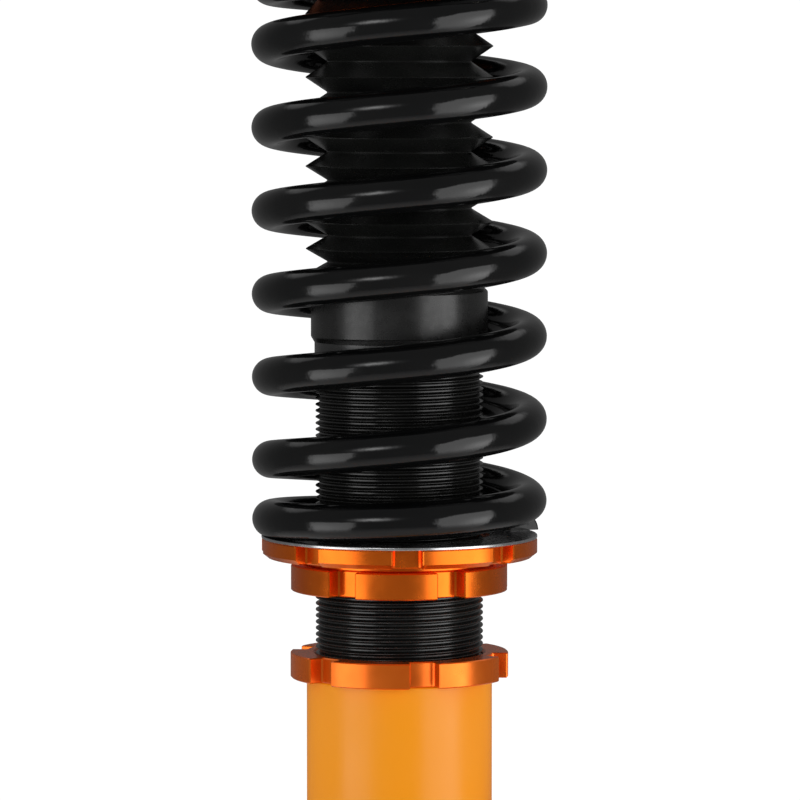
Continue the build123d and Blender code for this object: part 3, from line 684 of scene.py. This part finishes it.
def hose_bracket():
    """The brake hose tab, a drilled plate on a curved foot welded to the tube."""
    low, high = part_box("hose_bracket")
    hole = next(m for m in frame["record"]["mounts"] if m["name"] == "hose_hole")
    hole_x, hole_y = hole["pos_m"][:2]
    azimuth = atan2(hole_y, hole_x)
    thickness, half_width, hole_r = hole["dims"]["length_mm"] * MM, 13 * MM, hole["dims"]["r_mm"] * MM
    spread = asin(half_width / SADDLE_R)
    outline = [(SADDLE_R * cos(azimuth + a), SADDLE_R * sin(azimuth + a))
               for a in (spread * (1 - i / 6) for i in range(13))]
    outline += [(hole_x + half_width * cos(azimuth + a), hole_y + half_width * sin(azimuth + a))
                for a in (-pi / 2 + pi * i / 24 for i in range(25))]
    hole_outline = moved(circle(hole_r, 64), hole_x, hole_y)
    tab = plate("tab", [outline, hole_outline], high.z - thickness, high.z, 0.5 * MM)
    foot_r = SADDLE_R + thickness
    turns = [azimuth + spread * (1 - i / 8) for i in range(17)]
    path = [(foot_r * cos(a), foot_r * sin(a)) for a in turns]
    foot = bent_sheet("foot", path, lambda x, y: (low.z, high.z - thickness * 0.5), thickness)
    mount(joined("hose_bracket_pressed", tab, foot), "lower_bracket", "orange_paint", "hose_bracket")
    for side, name in ((-1, "hose_weld_left"), (1, "hose_weld_right")):
        angle, run = azimuth + side * (spread + 0.04), 90
        x, y = (SADDLE_R + 0.4 * MM) * cos(angle), (SADDLE_R + 0.4 * MM) * sin(angle)
        route = [(x, y, low.z + 1 * MM + (high.z - low.z - 4 * MM) * i / run) for i in range(run + 1)]
        mount(bead(name, route, 1.7 * MM, 1.5 * MM), "lower_bracket", "orange_paint")


# Lock rings, spring seat and washer ---------------------------------------------------------------

Notches = namedtuple("Notches", "count width floor turn")
LOWER_NOTCHES = Notches(6, 8.25 * MM, 30.2 * MM, radians(13.5))
LOCK_NOTCHES = Notches(6, 8.25 * MM, 30.2 * MM, radians(28.4))
SEAT_NOTCHES = Notches(8, 8.6 * MM, 39.7 * MM, radians(3.4))
RING_BORE_R = 27.0 * MM


def notched(rim, notches, edge=0.35 * MM, fillet=0.5 * MM):
    """A round outline with C-spanner notches: radial walls, broken edges and a round floor."""
    half = asin(notches.width / 2 / notches.floor)
    draft, rim_steps, floor_steps = radians(0.12), 22, 8
    side = [(rim, -half - edge / rim), (rim - edge, -half), (notches.floor + fillet, -half + draft),
            (notches.floor, -half + draft + fillet / notches.floor)]
    floor_half = -side[-1][1]
    floor = [(notches.floor, floor_half * (2 * i / floor_steps - 1)) for i in range(1, floor_steps)]
    notch = side + floor + [(r, -a) for r, a in reversed(side)]
    step = tau / notches.count
    land = step - 2 * (half + edge / rim)
    outline = []
    for i in range(notches.count):
        middle = notches.turn - pi / 2 + step * i
        outline += [(r * cos(middle + a), r * sin(middle + a)) for r, a in notch]
        start = middle + half + edge / rim
        lands = (start + land * k / rim_steps for k in range(1, rim_steps))
        outline += [(rim * cos(a), rim * sin(a)) for a in lands]
    return outline


def lock_ring(name, node, body, notches, rim):
    low, top, edge = lowest(node), highest(node), 0.35 * MM
    outline = notched(rim, notches)
    bore, lead_in = shadow(outline, RING_BORE_R), shadow(outline, RING_BORE_R + 0.8 * MM)
    small = inset(outline, edge)
    loops = [(bore, low + 0.8 * MM), (lead_in, low), (small, low), (outline, low + edge),
             (outline, top - edge), (small, top), (lead_in, top), (bore, top - 0.8 * MM)]
    return mount(loft(name, loops), body, "gold_anodised", node)


def spring_seat():
    low, top, hub_r = lowest("spring_seat"), highest("spring_seat"), 31 * MM
    rim, bevel, edge = radius_of("spring_washer"), 1.5 * MM, 0.35 * MM
    underside = top - 6.05 * MM
    outline = notched(rim, SEAT_NOTCHES)
    narrow = notched(rim - bevel, SEAT_NOTCHES)
    bore, lead_in = shadow(outline, RING_BORE_R), shadow(outline, RING_BORE_R + 0.8 * MM)
    hub, hub_foot = shadow(outline, hub_r), shadow(outline, hub_r - edge)
    loops = [(bore, low + 0.8 * MM), (lead_in, low), (hub_foot, low), (hub, low + edge), (hub, underside),
             (inset(narrow, edge), underside), (narrow, underside + edge), (outline, underside + bevel),
             (outline, top - edge), (inset(outline, edge), top), (lead_in, top), (bore, top - 0.8 * MM)]
    mount(loft("spring_seat_turned", loops), "seat", "gold_anodised", "spring_seat")


def spring_washer():
    low, top = lowest("spring_washer"), highest("spring_washer")
    rim, bore = radius_of("spring_washer"), 29 * MM
    profile = softened([(bore, low), (rim, low), (rim, top), (bore, top)], 0.3 * MM)
    mount(turned("spring_washer_stamped", profile), "seat_carrier", "washer_steel", "spring_washer")


# Coil spring --------------------------------------------------------------------------------------


def wire_height(angle, total, length):
    """Height of the wire's centre above the spring's lower end, angle degrees along the wire."""
    if angle > total / 2:
        return length - wire_height(total - angle, total, length)
    tip, end_pitch, active_pitch, closed_turn, ramp = -0.3 * MM, 11.9 * MM, 26.55 * MM, 335.0, 30.0
    rise = tip + end_pitch / 360 * angle
    if angle > closed_turn:
        past = angle - closed_turn
        extra = (active_pitch - end_pitch) / 360
        rise += extra * (past * past / (2 * ramp) if past < ramp else past - ramp / 2)
    return rise


def wire_turns(length):
    """The wire's whole angle in degrees, at which the coil's two halves meet at mid height."""
    low, high, near = 360.0, 7200.0, 1e-6
    while high - low > near:
        middle = (low + high) / 2
        if wire_height(middle / 2, middle, length) < length / 2:
            low = middle
        else:
            high = middle
    return low


def coil_spring():
    low, top, wire_r, first_tip = lowest("coil_spring"), highest("coil_spring"), 6 * MM, 17.0
    length, coil_r = top - low, radius_of("coil_spring") - wire_r
    total = wire_turns(length)
    steps, around = int(total / 3), 48
    bm, rows = bmesh.new(), []

    def centre(angle):
        azimuth = radians(first_tip + angle)
        height = low + wire_height(min(total, max(0.0, angle)), total, length)
        return Vector((coil_r * cos(azimuth), coil_r * sin(azimuth), height))

    def ring(angle, radius):
        azimuth = radians(first_tip + angle)
        outward = Vector((cos(azimuth), sin(azimuth), 0))
        ahead = (centre(angle + 0.5) - centre(angle - 0.5)).normalized()
        across = ahead.cross(outward)
        row = []
        for k in range(around):
            turn = tau * k / around
            point = centre(angle) + (outward * cos(turn) + across * sin(turn)) * radius
            point.z = min(top, max(low, point.z))
            row.append(bm.verts.new(point))
        return row

    end_bevel = 0.5 * MM
    rows.append(ring(0, wire_r - end_bevel))
    rows += [ring(total * i / steps + (0.7 if i == 0 else -0.7 if i == steps else 0), wire_r)
             for i in range(steps + 1)]
    rows.append(ring(total, wire_r - end_bevel))
    for here, after in zip(rows, rows[1:]):
        join_rows(bm, here, after)
    bm.faces.new(rows[0])
    bm.faces.new(rows[-1])
    made = from_bmesh("coil_spring_wound", bm, crisp=False)
    made.data.set_sharp_from_angle(angle=SHARP)
    mount(made, "seat_carrier", "black_coil", "coil_spring")
    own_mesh(made)


# Damper body --------------------------------------------------------------------------------------

BODY_BORE_R, NECK_R, SPIGOT_R = 23 * MM, radius_of("threaded_body"), 25.4 * MM
THREAD_CREST_R, THREAD_ROOT_R, THREAD_PITCH = 26.9 * MM, 25.65 * MM, 2 * MM
NECK_BOTTOM, NECK_TOP = RIM + 99 * MM, RIM + 111 * MM


def threaded_body():
    low, top = lowest("threaded_body"), highest("threaded_body")
    steps = [
        (BODY_BORE_R, low),
        (THREAD_ROOT_R, low),
        Thread(THREAD_CREST_R, THREAD_ROOT_R, THREAD_PITCH, low + 1 * MM, NECK_BOTTOM - 0.6 * MM),
        (THREAD_ROOT_R, NECK_BOTTOM - 0.3 * MM),
        (NECK_R - 0.4 * MM, NECK_BOTTOM - 0.3 * MM),
        (NECK_R, NECK_BOTTOM + 0.1 * MM),
        (NECK_R, NECK_TOP),
        (SPIGOT_R, NECK_TOP),
        (SPIGOT_R, top),
        (BODY_BORE_R, top),
    ]
    made = mount(turned("threaded_body_cut", steps, 144), "damper_body", "black_body", "threaded_body")
    made.data.materials.append(blacked_steel())
    for face in made.data.polygons:
        face.material_index = int(face.center.z > NECK_BOTTOM - 0.35 * MM)


def gland_cap():
    low, top, cap_r, rod_hole = lowest("gland_cap"), highest("gland_cap"), radius_of("gland_cap"), 13.5 * MM
    roof = highest("threaded_body")
    profile = [
        (NECK_R + 0.02 * MM, low),
        (cap_r - 1.0 * MM, low),
        (cap_r, low + 1.7 * MM),
        (cap_r, top - 1 * MM),
        (cap_r - 1 * MM, top),
        (rod_hole, top),
        (rod_hole, roof),
        (SPIGOT_R + 0.02 * MM, roof),
        (SPIGOT_R + 0.02 * MM, NECK_TOP + 0.02 * MM),
        (NECK_R + 0.02 * MM, NECK_TOP + 0.02 * MM),
    ]
    mount(turned("gland_cap_turned", softened(profile, 0.35 * MM)), "damper_body", "black_cap", "gland_cap")


# Piston rod, boot and bump stop -------------------------------------------------------------------


def piston_rod():
    low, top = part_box("piston_rod")
    rod_r, neck_r, hole_r = radius_of("piston_rod"), 7 * MM, 4 * MM
    shoulder, foot = lowest("bearing_collar"), highest("compression_shims")
    thread_root = neck_r - 0.9 * MM
    steps = [
        (hole_r, low.z),
        (6 * MM, low.z),
        (6 * MM, foot),
        (rod_r - 0.5 * MM, foot),
        (rod_r, foot + 0.5 * MM),
        (rod_r, shoulder - 0.5 * MM),
        (rod_r - 0.5 * MM, shoulder),
        (neck_r, shoulder),
        (neck_r, lowest("rod_nut") - 1 * MM),
        Thread(neck_r, thread_root, 1.5 * MM, lowest("rod_nut") - 0.6 * MM, top.z - 0.8 * MM),
        (thread_root - 0.6 * MM, top.z),
        (hole_r + 0.4 * MM, top.z),
        (hole_r, top.z - 0.4 * MM),
    ]
    mount(turned("piston_rod_chromed", steps, 96), "rod", "chromed_rod", "piston_rod")


def dust_boot():
    """The bellows. Its folds open out a little upwards, and each is a touch out of round."""
    low, top = lowest("dust_boot"), highest("dust_boot")
    ridge_r, valley_r, soft = radius_of("dust_boot"), 22.9 * MM, 0.5 * MM
    wall, cuff_r, ridges = 1.6 * MM, 25.5 * MM, 10
    first, step, stretch = 3.9 * MM, 8.2 * MM, 0.1136 * MM
    heights = [low + first + step * i + stretch * i * i for i in range(ridges)]
    outside = [(cuff_r, low)]
    for i, height in enumerate(heights):
        outside.append((ridge_r, height))
        if i < ridges - 1:
            outside.append((valley_r, (height + heights[i + 1]) / 2))
    outside.append((cuff_r, top))
    inside = [(r - wall, height) for r, height in reversed(outside)]
    made = turned("dust_boot_moulded", softened(outside + inside, soft, 4))
    for vertex in made.data.vertices:
        angle, share = atan2(vertex.co.y, vertex.co.x), (vertex.co.z - low) / (top - low)
        swell = 1 + 0.004 * sin(3 * angle + 9 * share) * sin(pi * share)
        vertex.co.x, vertex.co.y = vertex.co.x * min(1.0, swell), vertex.co.y * min(1.0, swell)
    mount(made, "height_carrier", "rubber_boot", "dust_boot")
    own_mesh(made)


def bump_stop():
    """A foam stop with three lobes."""
    low, top, lobe_r, bore_r = lowest("bump_stop"), highest("bump_stop"), radius_of("bump_stop"), 11.3 * MM
    waist, nose = 15.6 * MM, 15.4 * MM
    lobes = [(nose, low), (lobe_r - 1 * MM, low + 5 * MM), (waist, low + 10 * MM), (lobe_r, low + 15 * MM),
             (waist, low + 20 * MM), (lobe_r, low + 25 * MM), (lobe_r, top)]
    made = turned("bump_stop_foam", softened([(bore_r, low)] + lobes + [(bore_r, top)], 2.4 * MM, 5), 96)
    mount(made, "rod", "foam", "bump_stop")


# Upper spring seat --------------------------------------------------------------------------------


def upper_spring_seat():
    low, top = lowest("upper_spring_seat"), highest("upper_spring_seat")
    rim = radius_of("upper_spring_seat")
    spring_top, edge = highest("coil_spring"), RIM + 232.5 * MM
    floor, crown = lowest("bearing_race_lower"), top - 0.4 * MM
    bore, hub_r, groove_r, groove = 11.1 * MM, 16 * MM, 27 * MM, 10 * MM
    spigot_r, crown_r, pocket_r, collar_r = 34.9 * MM, 34 * MM, 24 * MM, 15 * MM
    profile = [
        (bore, low),
        (hub_r, low),
        (hub_r, low + groove),
        (groove_r, low + groove),
        (groove_r, low),
        (spigot_r, low),
        (spigot_r, spring_top),
        (rim, spring_top),
        (rim, edge - 1.5 * MM),
        (rim - 1.5 * MM, edge),
        (crown_r, crown),
        (pocket_r, crown),
        (pocket_r, floor),
        (collar_r, floor),
        (collar_r, top),
        (bore, top),
    ]
    mount(turned("upper_spring_seat_turned", softened(profile, 0.4 * MM)), "upper_seat", "gold_anodised",
          "upper_spring_seat")


# Top mount ----------------------------------------------------------------------------------------


def rounded_rectangle(width, depth, corner_r, steps=8):
    outline = []
    for quarter in range(4):
        x = (width / 2 - corner_r) * (1 if quarter in (0, 3) else -1)
        y = (depth / 2 - corner_r) * (1 if quarter in (0, 1) else -1)
        for i in range(steps + 1):
            angle = pi / 2 * (quarter + i / steps)
            outline.append((x + corner_r * cos(angle), y + corner_r * sin(angle)))
    return outline


def bolt_places():
    """Where the four camber bolts stand, from the box round them."""
    low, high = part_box("camber_bolts")
    head_r = 5 * MM
    return [(x, y) for x in (low.x + head_r, high.x - head_r) for y in (low.y + head_r, high.y - head_r)]


def pillow_housing():
    low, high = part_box("pillow_housing")
    flange_bottom, barrel_r, race_r = high.z - 10 * MM, 25.5 * MM, radius_of("pillow_race_lower")
    race_floor, lip_r = lowest("pillow_race_lower"), 16.5 * MM
    clip_low, clip_high, clip_r = lowest("snap_ring"), highest("snap_ring"), 20.3 * MM
    bore = race_r + 0.05 * MM
    rim = rounded_rectangle(high.x - low.x, high.y - low.y, 9 * MM)
    holes = [moved(circle(3 * MM, 32), x, y) for x, y in bolt_places()]
    flange = plate("flange", [rim, circle(barrel_r - 2 * MM, 96), *holes], flange_bottom, high.z, 0.8 * MM)
    profile = [
        (lip_r, low.z),
        (barrel_r, low.z),
        (barrel_r, flange_bottom + 2 * MM),
        (barrel_r - 1 * MM, flange_bottom + 2 * MM),
        (barrel_r - 1 * MM, high.z),
        (bore, high.z),
        (bore, clip_high),
        (clip_r, clip_high),
        (clip_r, clip_low),
        (bore, clip_low),
        (bore, race_floor),
        (lip_r, race_floor),
    ]
    barrel = turned("barrel", softened(profile, 0.3 * MM, 2))
    housing = joined("pillow_housing_milled", flange, barrel)
    mount(housing, "mount_housing", "housing_aluminium", "pillow_housing")


def hull(points):
    """The convex outline of points, anticlockwise."""
    points = sorted(points)
    halves = []
    for ordered in (points, points[::-1]):
        half = []
        for point in ordered:
            while len(half) > 1 and (
                (half[-1][0] - half[-2][0]) * (point[1] - half[-2][1])
                - (half[-1][1] - half[-2][1]) * (point[0] - half[-2][0])
            ) <= 0:
                half.pop()
            half.append(point)
        halves += half[:-1]
    return halves


def long_hole(length, width, x=0.0, y=0.0, steps=24):
    outline = []
    for side in (1, -1):
        for i in range(steps + 1):
            angle = -pi / 2 + pi * i / steps + (0 if side > 0 else pi)
            middle = x + side * (length - width) / 2
            outline.append((middle + width / 2 * cos(angle), y + width / 2 * sin(angle)))
    return outline


STUD_PLACES = [(58 * MM * cos(radians(a)), 58 * MM * sin(radians(a))) for a in (90, 210, 330)]


def camber_plate():
    low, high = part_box("camber_plate")
    travel = joint_range("camber_slide")[1]
    lobes = circle(52 * MM, 144)
    for x, y in STUD_PLACES:
        lobes += moved(circle(12 * MM, 96), x, y)
    slots = [long_hole(2 * travel + 6.8 * MM, 6.8 * MM, x, y) for x, y in bolt_places()]
    studs = [moved(circle(4.3 * MM, 48), x, y) for x, y in STUD_PLACES]
    clear = 0.04 * MM
    made = plate("camber_plate_coated", [hull(lobes), long_hole(62 * MM, 39 * MM), *slots, *studs],
                 low.z + clear, high.z - clear, 0.5 * MM)
    mount(made, "top_plate", "plate_black", "camber_plate")


def mounting_studs():
    low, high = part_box("mounting_studs")
    plate_top, root, stud_r, pitch = highest("camber_plate"), 3.35 * MM, 4 * MM, 1.25 * MM
    steps = [
        (0.0, low.z),
        (5.2 * MM, low.z),
        (5.5 * MM, low.z + 0.3 * MM),
        (5.5 * MM, low.z + 2 * MM),
        (4.3 * MM, low.z + 2 * MM),
        (4.3 * MM, plate_top),
        (root, plate_top + 0.2 * MM),
        Thread(stud_r, root, pitch, plate_top + 0.4 * MM, high.z - 0.7 * MM),
        (root - 0.5 * MM, high.z),
        (0.0, high.z),
    ]
    studs = []
    for i, (x, y) in enumerate(STUD_PLACES):
        stud = turned(f"stud_{i}", steps, 48, closed=False)
        stud.data.transform(Matrix.Translation((x, y, 0)))
        studs.append(stud)
    mount(joined("mounting_studs_threaded", *studs), "top_plate", "zinc_steel", "mounting_studs")


def hexagon(half_width, count, limit=None):
    """A hexagon, or its corners turned down to a limit radius."""
    outline = []
    for i in range(count):
        angle = tau * i / count
        radius = half_width / cos((angle % (pi / 3)) - pi / 6)
        radius = min(radius, limit) if limit else radius
        outline.append((radius * cos(angle), radius * sin(angle)))
    return outline


def fluted(radius, depth, flutes, count):
    """A round outline with grip flutes."""
    outline = []
    for i in range(count):
        angle = tau * i / count
        reach = radius - depth * max(0.0, cos(angle * flutes)) ** 2
        outline.append((reach * cos(angle), reach * sin(angle)))
    return outline


def camber_bolts():
    """Socket-head screws with knurled heads, and the washers beneath them."""
    low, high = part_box("camber_bolts")
    seat, count, head_r, socket, depth = highest("camber_washers"), 120, 5 * MM, 2.5 * MM, 3 * MM
    washer_low = lowest("camber_washers")
    bolts, washers = [], []
    for i, (x, y) in enumerate(bolt_places()):
        grip, round_head = fluted(head_r, 0.2 * MM, 30, count), circle(head_r - 0.7 * MM, count)
        hexes, mouth = hexagon(socket, count), circle(socket / cos(pi / 6) + 0.1 * MM, count)
        shank = circle(2.95 * MM, count)
        loops = [
            ([(0.0, 0.0)], low.z),
            (circle(2.3 * MM, count), low.z),
            (shank, low.z + 0.7 * MM),
            (shank, seat),
            (circle(head_r - 0.3 * MM, count), seat),
            (grip, seat + 0.3 * MM),
            (grip, high.z - 0.9 * MM),
            (circle(head_r - 0.2 * MM, count), high.z - 0.7 * MM),
            (round_head, high.z),
            (mouth, high.z),
            (hexes, high.z - 0.3 * MM),
            (hexes, high.z - depth),
            (circle(0.6 * MM, count), high.z - depth - 0.6 * MM),
            ([(0.0, 0.0)], high.z - depth - 0.8 * MM),
        ]
        bolt = loft(f"bolt_{i}", loops, closed=False)
        ring = turned(f"washer_{i}", softened([(3.1 * MM, washer_low), (6 * MM, washer_low), (6 * MM, seat),
                                               (3.1 * MM, seat)], 0.25 * MM, 2), 64)
        for part in (bolt, ring):
            part.data.transform(Matrix.Translation((x, y, 0)))
        bolts.append(bolt)
        washers.append(ring)
    mount(joined("camber_bolts_knurled", *bolts), "mount_housing", "black_bolt", "camber_bolts")
    mount(joined("camber_washers_stamped", *washers), "mount_housing", "washer_steel", "camber_washers")


def rod_nut():
    """A flanged-face hexagon nut with a nylon collar, and its washer."""
    low, top, count = lowest("rod_nut"), highest("rod_nut"), 192
    hex_top, half, bore, collar = top - 2.5 * MM, 11 * MM, 7.0 * MM, 9.5 * MM
    corner = half / cos(pi / 6)
    loops = [
        (circle(bore + 0.7 * MM, count), low),
        (hexagon(half - 0.3 * MM, count, half - 0.3 * MM), low),
        (hexagon(half, count, half + 0.25 * MM), low + 0.15 * MM),
        (hexagon(half, count, corner - 0.1 * MM), low + 0.9 * MM),
        (hexagon(half, count), low + 1.1 * MM),
        (hexagon(half, count), hex_top - 1.1 * MM),
        (hexagon(half, count, corner - 0.1 * MM), hex_top - 0.9 * MM),
        (hexagon(half, count, half + 0.25 * MM), hex_top - 0.15 * MM),
        (hexagon(half - 0.3 * MM, count, half - 0.3 * MM), hex_top),
        (circle(collar, count), hex_top),
        (circle(collar, count), top - 0.8 * MM),
        (circle(collar - 0.8 * MM, count), top),
        (circle(bore + 0.7 * MM, count), top),
        (circle(bore, count), top - 0.7 * MM),
        (circle(bore, count), low + 0.7 * MM),
    ]
    mount(loft("rod_nut_locking", loops), "rod", "zinc_steel", "rod_nut")
    w_low, w_top, w_rim = lowest("rod_washer"), highest("rod_washer"), radius_of("rod_washer")
    profile = softened([(bore, w_low), (w_rim, w_low), (w_rim, w_top), (bore, w_top)], 0.5 * MM)
    mount(turned("rod_washer_stamped", profile), "rod", "washer_steel", "rod_washer")


def adjuster_knob():
    """The fluted damping knob, with a domed cap and a centre drilling."""
    low, top = lowest("adjuster_knob"), highest("adjuster_knob")
    knob_r, count = radius_of("adjuster_knob"), 256
    grip = fluted(knob_r, 0.55 * MM, 16, count)
    loops = [
        ([(0.0, 0.0)], low),
        (circle(knob_r - 0.4 * MM, count), low),
        (circle(knob_r, count), low + 0.4 * MM),
        (circle(knob_r, count), low + 2.6 * MM),
        (grip, low + 3.2 * MM),
        (grip, top - 1.4 * MM),
        (circle(knob_r - 0.8 * MM, count), top - 0.5 * MM),
        (circle(knob_r - 1.5 * MM, count), top - 0.15 * MM),
        (circle(knob_r - 3 * MM, count), top),
        (circle(1.6 * MM, count), top - 0.05 * MM),
        (circle(1.2 * MM, count), top - 0.5 * MM),
        ([(0.0, 0.0)], top - 0.7 * MM),
    ]
    mount(loft("adjuster_knob_fluted", loops, closed=False), "adjuster", "gold_anodised", "adjuster_knob")


def pillow_ball():
    """The ball that the rod's nut clamps, with its polished spherical band."""
    low, top, ball_r, bore = lowest("pillow_ball"), highest("pillow_ball"), radius_of("pillow_ball"), 7 * MM
    middle, steps = (low + top) / 2, 24
    limit = asin((top - low) / 2 / ball_r)
    turns = [limit * (2 * i / steps - 1) for i in range(steps + 1)]
    band = [(ball_r * cos(a), middle + ball_r * sin(a)) for a in turns]
    mount(turned("pillow_ball_polished", [(bore, low)] + band + [(bore, top)]), "rod", "bearing_steel",
          "pillow_ball")


bracket_tube()
knuckle_bracket()
hose_bracket()
RING_R = radius_of("lower_lock_ring")
lower_ring = lock_ring("lower_lock_ring_turned", "lower_lock_ring", "lower_lock", LOWER_NOTCHES, RING_R)
# The lower ring gets a less metallic, brighter copy of the gold: painted reflection of the orange tube and floor
# beneath it
lower_ring.data.materials[0] = gold_anodised("gold_anodised_dull", 0.3)
lock_ring("seat_lock_ring_turned", "seat_lock_ring", "seat_lock", LOCK_NOTCHES, RING_R)
spring_seat()
spring_washer()
coil_spring()
threaded_body()
gland_cap()
piston_rod()
dust_boot()
bump_stop()
upper_spring_seat()
pillow_housing()
camber_plate()
mounting_studs()
camber_bolts()
rod_nut()
adjuster_knob()
pillow_ball()

# The CAD nodes that stay visible take the same finishes by their slots
for subpart in frame["record"]["subparts"]:
    carried = frame["nodes"][subpart["node"]]
    carried.data.materials.clear()
    carried.data.materials.append(FINISHES[subpart["material_slot"]])


# Stage, light and camera --------------------------------------------------------------------------


def stage_floor():
    """A plain white sheet under the strut, which fades into the backdrop at its rim."""
    level, solid_r, rim_r = cad_box[0].z - 0.2 * MM, 0.17, 0.36
    bm = bmesh.new()
    bm.faces.new(add_row(bm, circle(rim_r, 96), level))
    floor = from_bmesh("floor", bm, crisp=False)
    white = Finish("floor_white", (0.86, 0.86, 0.86), 0.9)
    white.bump(white.noise(30), 0.0002)
    split = white.nodes.new("ShaderNodeSeparateXYZ")
    white.links.new(white.place, split.inputs[0])
    across = white.math("ADD", *(white.math("MULTIPLY", side, side) for side in split.outputs[:2]))
    white.links.new(white.spread(white.math("SQRT", across), 1.0, 0.0, solid_r, rim_r),
                    white.shader.inputs["Alpha"])
    floor.data.materials.append(white.material)


def studio_light():
    """A dark studio with two tall soft boxes, a small lamp above the left one and a white backdrop."""
    world = bpy.data.worlds.new("studio")
    bpy.context.scene.world = world
    world.use_nodes = True
    nodes, links = world.node_tree.nodes, world.node_tree.links
    nodes.clear()

    def math(operation, *values):
        return math_node(nodes, links, operation, *values)

    def step(value, start, end):
        """0 before start and 1 after end, or the other way round where start is the larger."""
        node = nodes.new("ShaderNodeMapRange")
        node.interpolation_type = "SMOOTHSTEP"
        links.new(value, node.inputs["Value"])
        for name, number in zip(("From Min", "From Max"), sorted((start, end))):
            node.inputs[name].default_value = number
        if start > end:
            node.inputs["To Min"].default_value, node.inputs["To Max"].default_value = 1.0, 0.0
        return node.outputs[0]

    def product(first, *others):
        for other in others:
            first = math("MULTIPLY", first, other)
        return first

    def spot(middle, width):
        """A soft round light about a bearing and a height."""
        offsets = (math("DIVIDE", math("SUBTRACT", value, at), wide)
                   for value, at, wide in zip((bearing, height), middle, width))
        square = math("ADD", *(math("MULTIPLY", offset, offset) for offset in offsets))
        return math("EXPONENT", math("MULTIPLY", square, -0.5))

    # Bearings are in degrees from the front, and positive to the right
    split = nodes.new("ShaderNodeSeparateXYZ")
    links.new(nodes.new("ShaderNodeTexCoord").outputs["Generated"], split.inputs[0])
    x, y, up = split.outputs
    degrees = 180 / pi
    bearing = math("MULTIPLY", math("ARCTAN2", x, math("MULTIPLY", y, -1)), degrees)
    away = math("ABSOLUTE", bearing)
    height = math("MULTIPLY", math("ARCSINE", up), degrees)
    lean = math("MULTIPLY", math("MAXIMUM", math("SUBTRACT", -20, height), 0), 0.45)
    left, right = math("MULTIPLY", math("ADD", bearing, lean), -1), math("SUBTRACT", bearing, lean)
    slope = math("SUBTRACT", height, math("MULTIPLY", step(bearing, 28, 52), 14))
    front, sides = 0.2, 0.14
    floor_glow = product(step(height, -74, -64), step(height, -46, -58))
    back_strip = product(step(height, 30, 38), step(height, 56, 46))
    lights = [
        (front - sides, step(away, 120, 70)),
        (1.75, product(step(left, 33, 38), step(left, 77, 70), step(height, 6, 1), step(height, -68, -34))),
        (1.0, product(spot((-66, -22), (13, 13)), step(left, 80, 72))),
        (2.0, product(step(right, 26, 32), step(right, 81, 75), step(slope, 11, 5), step(height, -72, -40))),
        (2.0, product(spot((71, -19), (10, 11)), step(right, 82, 77))),
        (0.5, product(step(right, 24, 40), step(away, 150, 110), floor_glow)),
        (0.4, product(step(left, 30, 45), step(away, 130, 100), floor_glow)),
        (5.6, spot((-22, 18), (8.5, 5))),
        (0.6, product(step(away, 104, 120), step(away, 172, 150), back_strip)),
    ]
    total = math("ADD", sides, 0)
    for light, place in lights:
        total = math("ADD", total, math("MULTIPLY", place, light))
    # Broad cards fill the shadows of the matt surfaces, more from the back than from the front
    paths = nodes.new("ShaderNodeLightPath")
    fill = math("ADD", 0.22, math("MULTIPLY", step(away, 55, 105), 0.5))
    total = math("ADD", total, math("MULTIPLY", paths.outputs["Is Diffuse Ray"], fill))
    lit, backdrop = nodes.new("ShaderNodeBackground"), nodes.new("ShaderNodeBackground")
    mix = nodes.new("ShaderNodeMixShader")
    links.new(total, lit.inputs["Strength"])
    backdrop.inputs["Strength"].default_value = 1.05
    for background in (lit, backdrop):
        background.inputs["Color"].default_value = (1, 1, 1, 1)
    links.new(paths.outputs["Is Camera Ray"], mix.inputs[0])
    links.new(lit.outputs[0], mix.inputs[1])
    links.new(backdrop.outputs[0], mix.inputs[2])
    links.new(mix.outputs[0], nodes.new("ShaderNodeOutputWorld").inputs[0])
    world.cycles.sampling_method = "MANUAL"
    world.cycles.sample_map_resolution = 1024


def camera():
    """Looks at the damper body from the front, a little from above, through a long lens."""
    target = Vector((0.0002, 0.0, RIM + 89 * MM))
    distance, pitch, view_height, sensor = 1.56, radians(4.1), 0.2564, 36.0
    data = bpy.data.cameras.new("camera")
    data.sensor_width = sensor
    data.lens = sensor * distance / view_height
    data.clip_start, data.clip_end = 0.05, 50
    made = bpy.data.objects.new("camera", data)
    bpy.context.scene.collection.objects.link(made)
    made.location = target + Vector((0, -cos(pitch), sin(pitch))) * distance
    made.rotation_euler = (pi / 2 - pitch, 0, 0)
    bpy.context.scene.camera = made


stage_floor()
studio_light()
camera()
bpy.context.scene.view_settings.view_transform = "Standard"
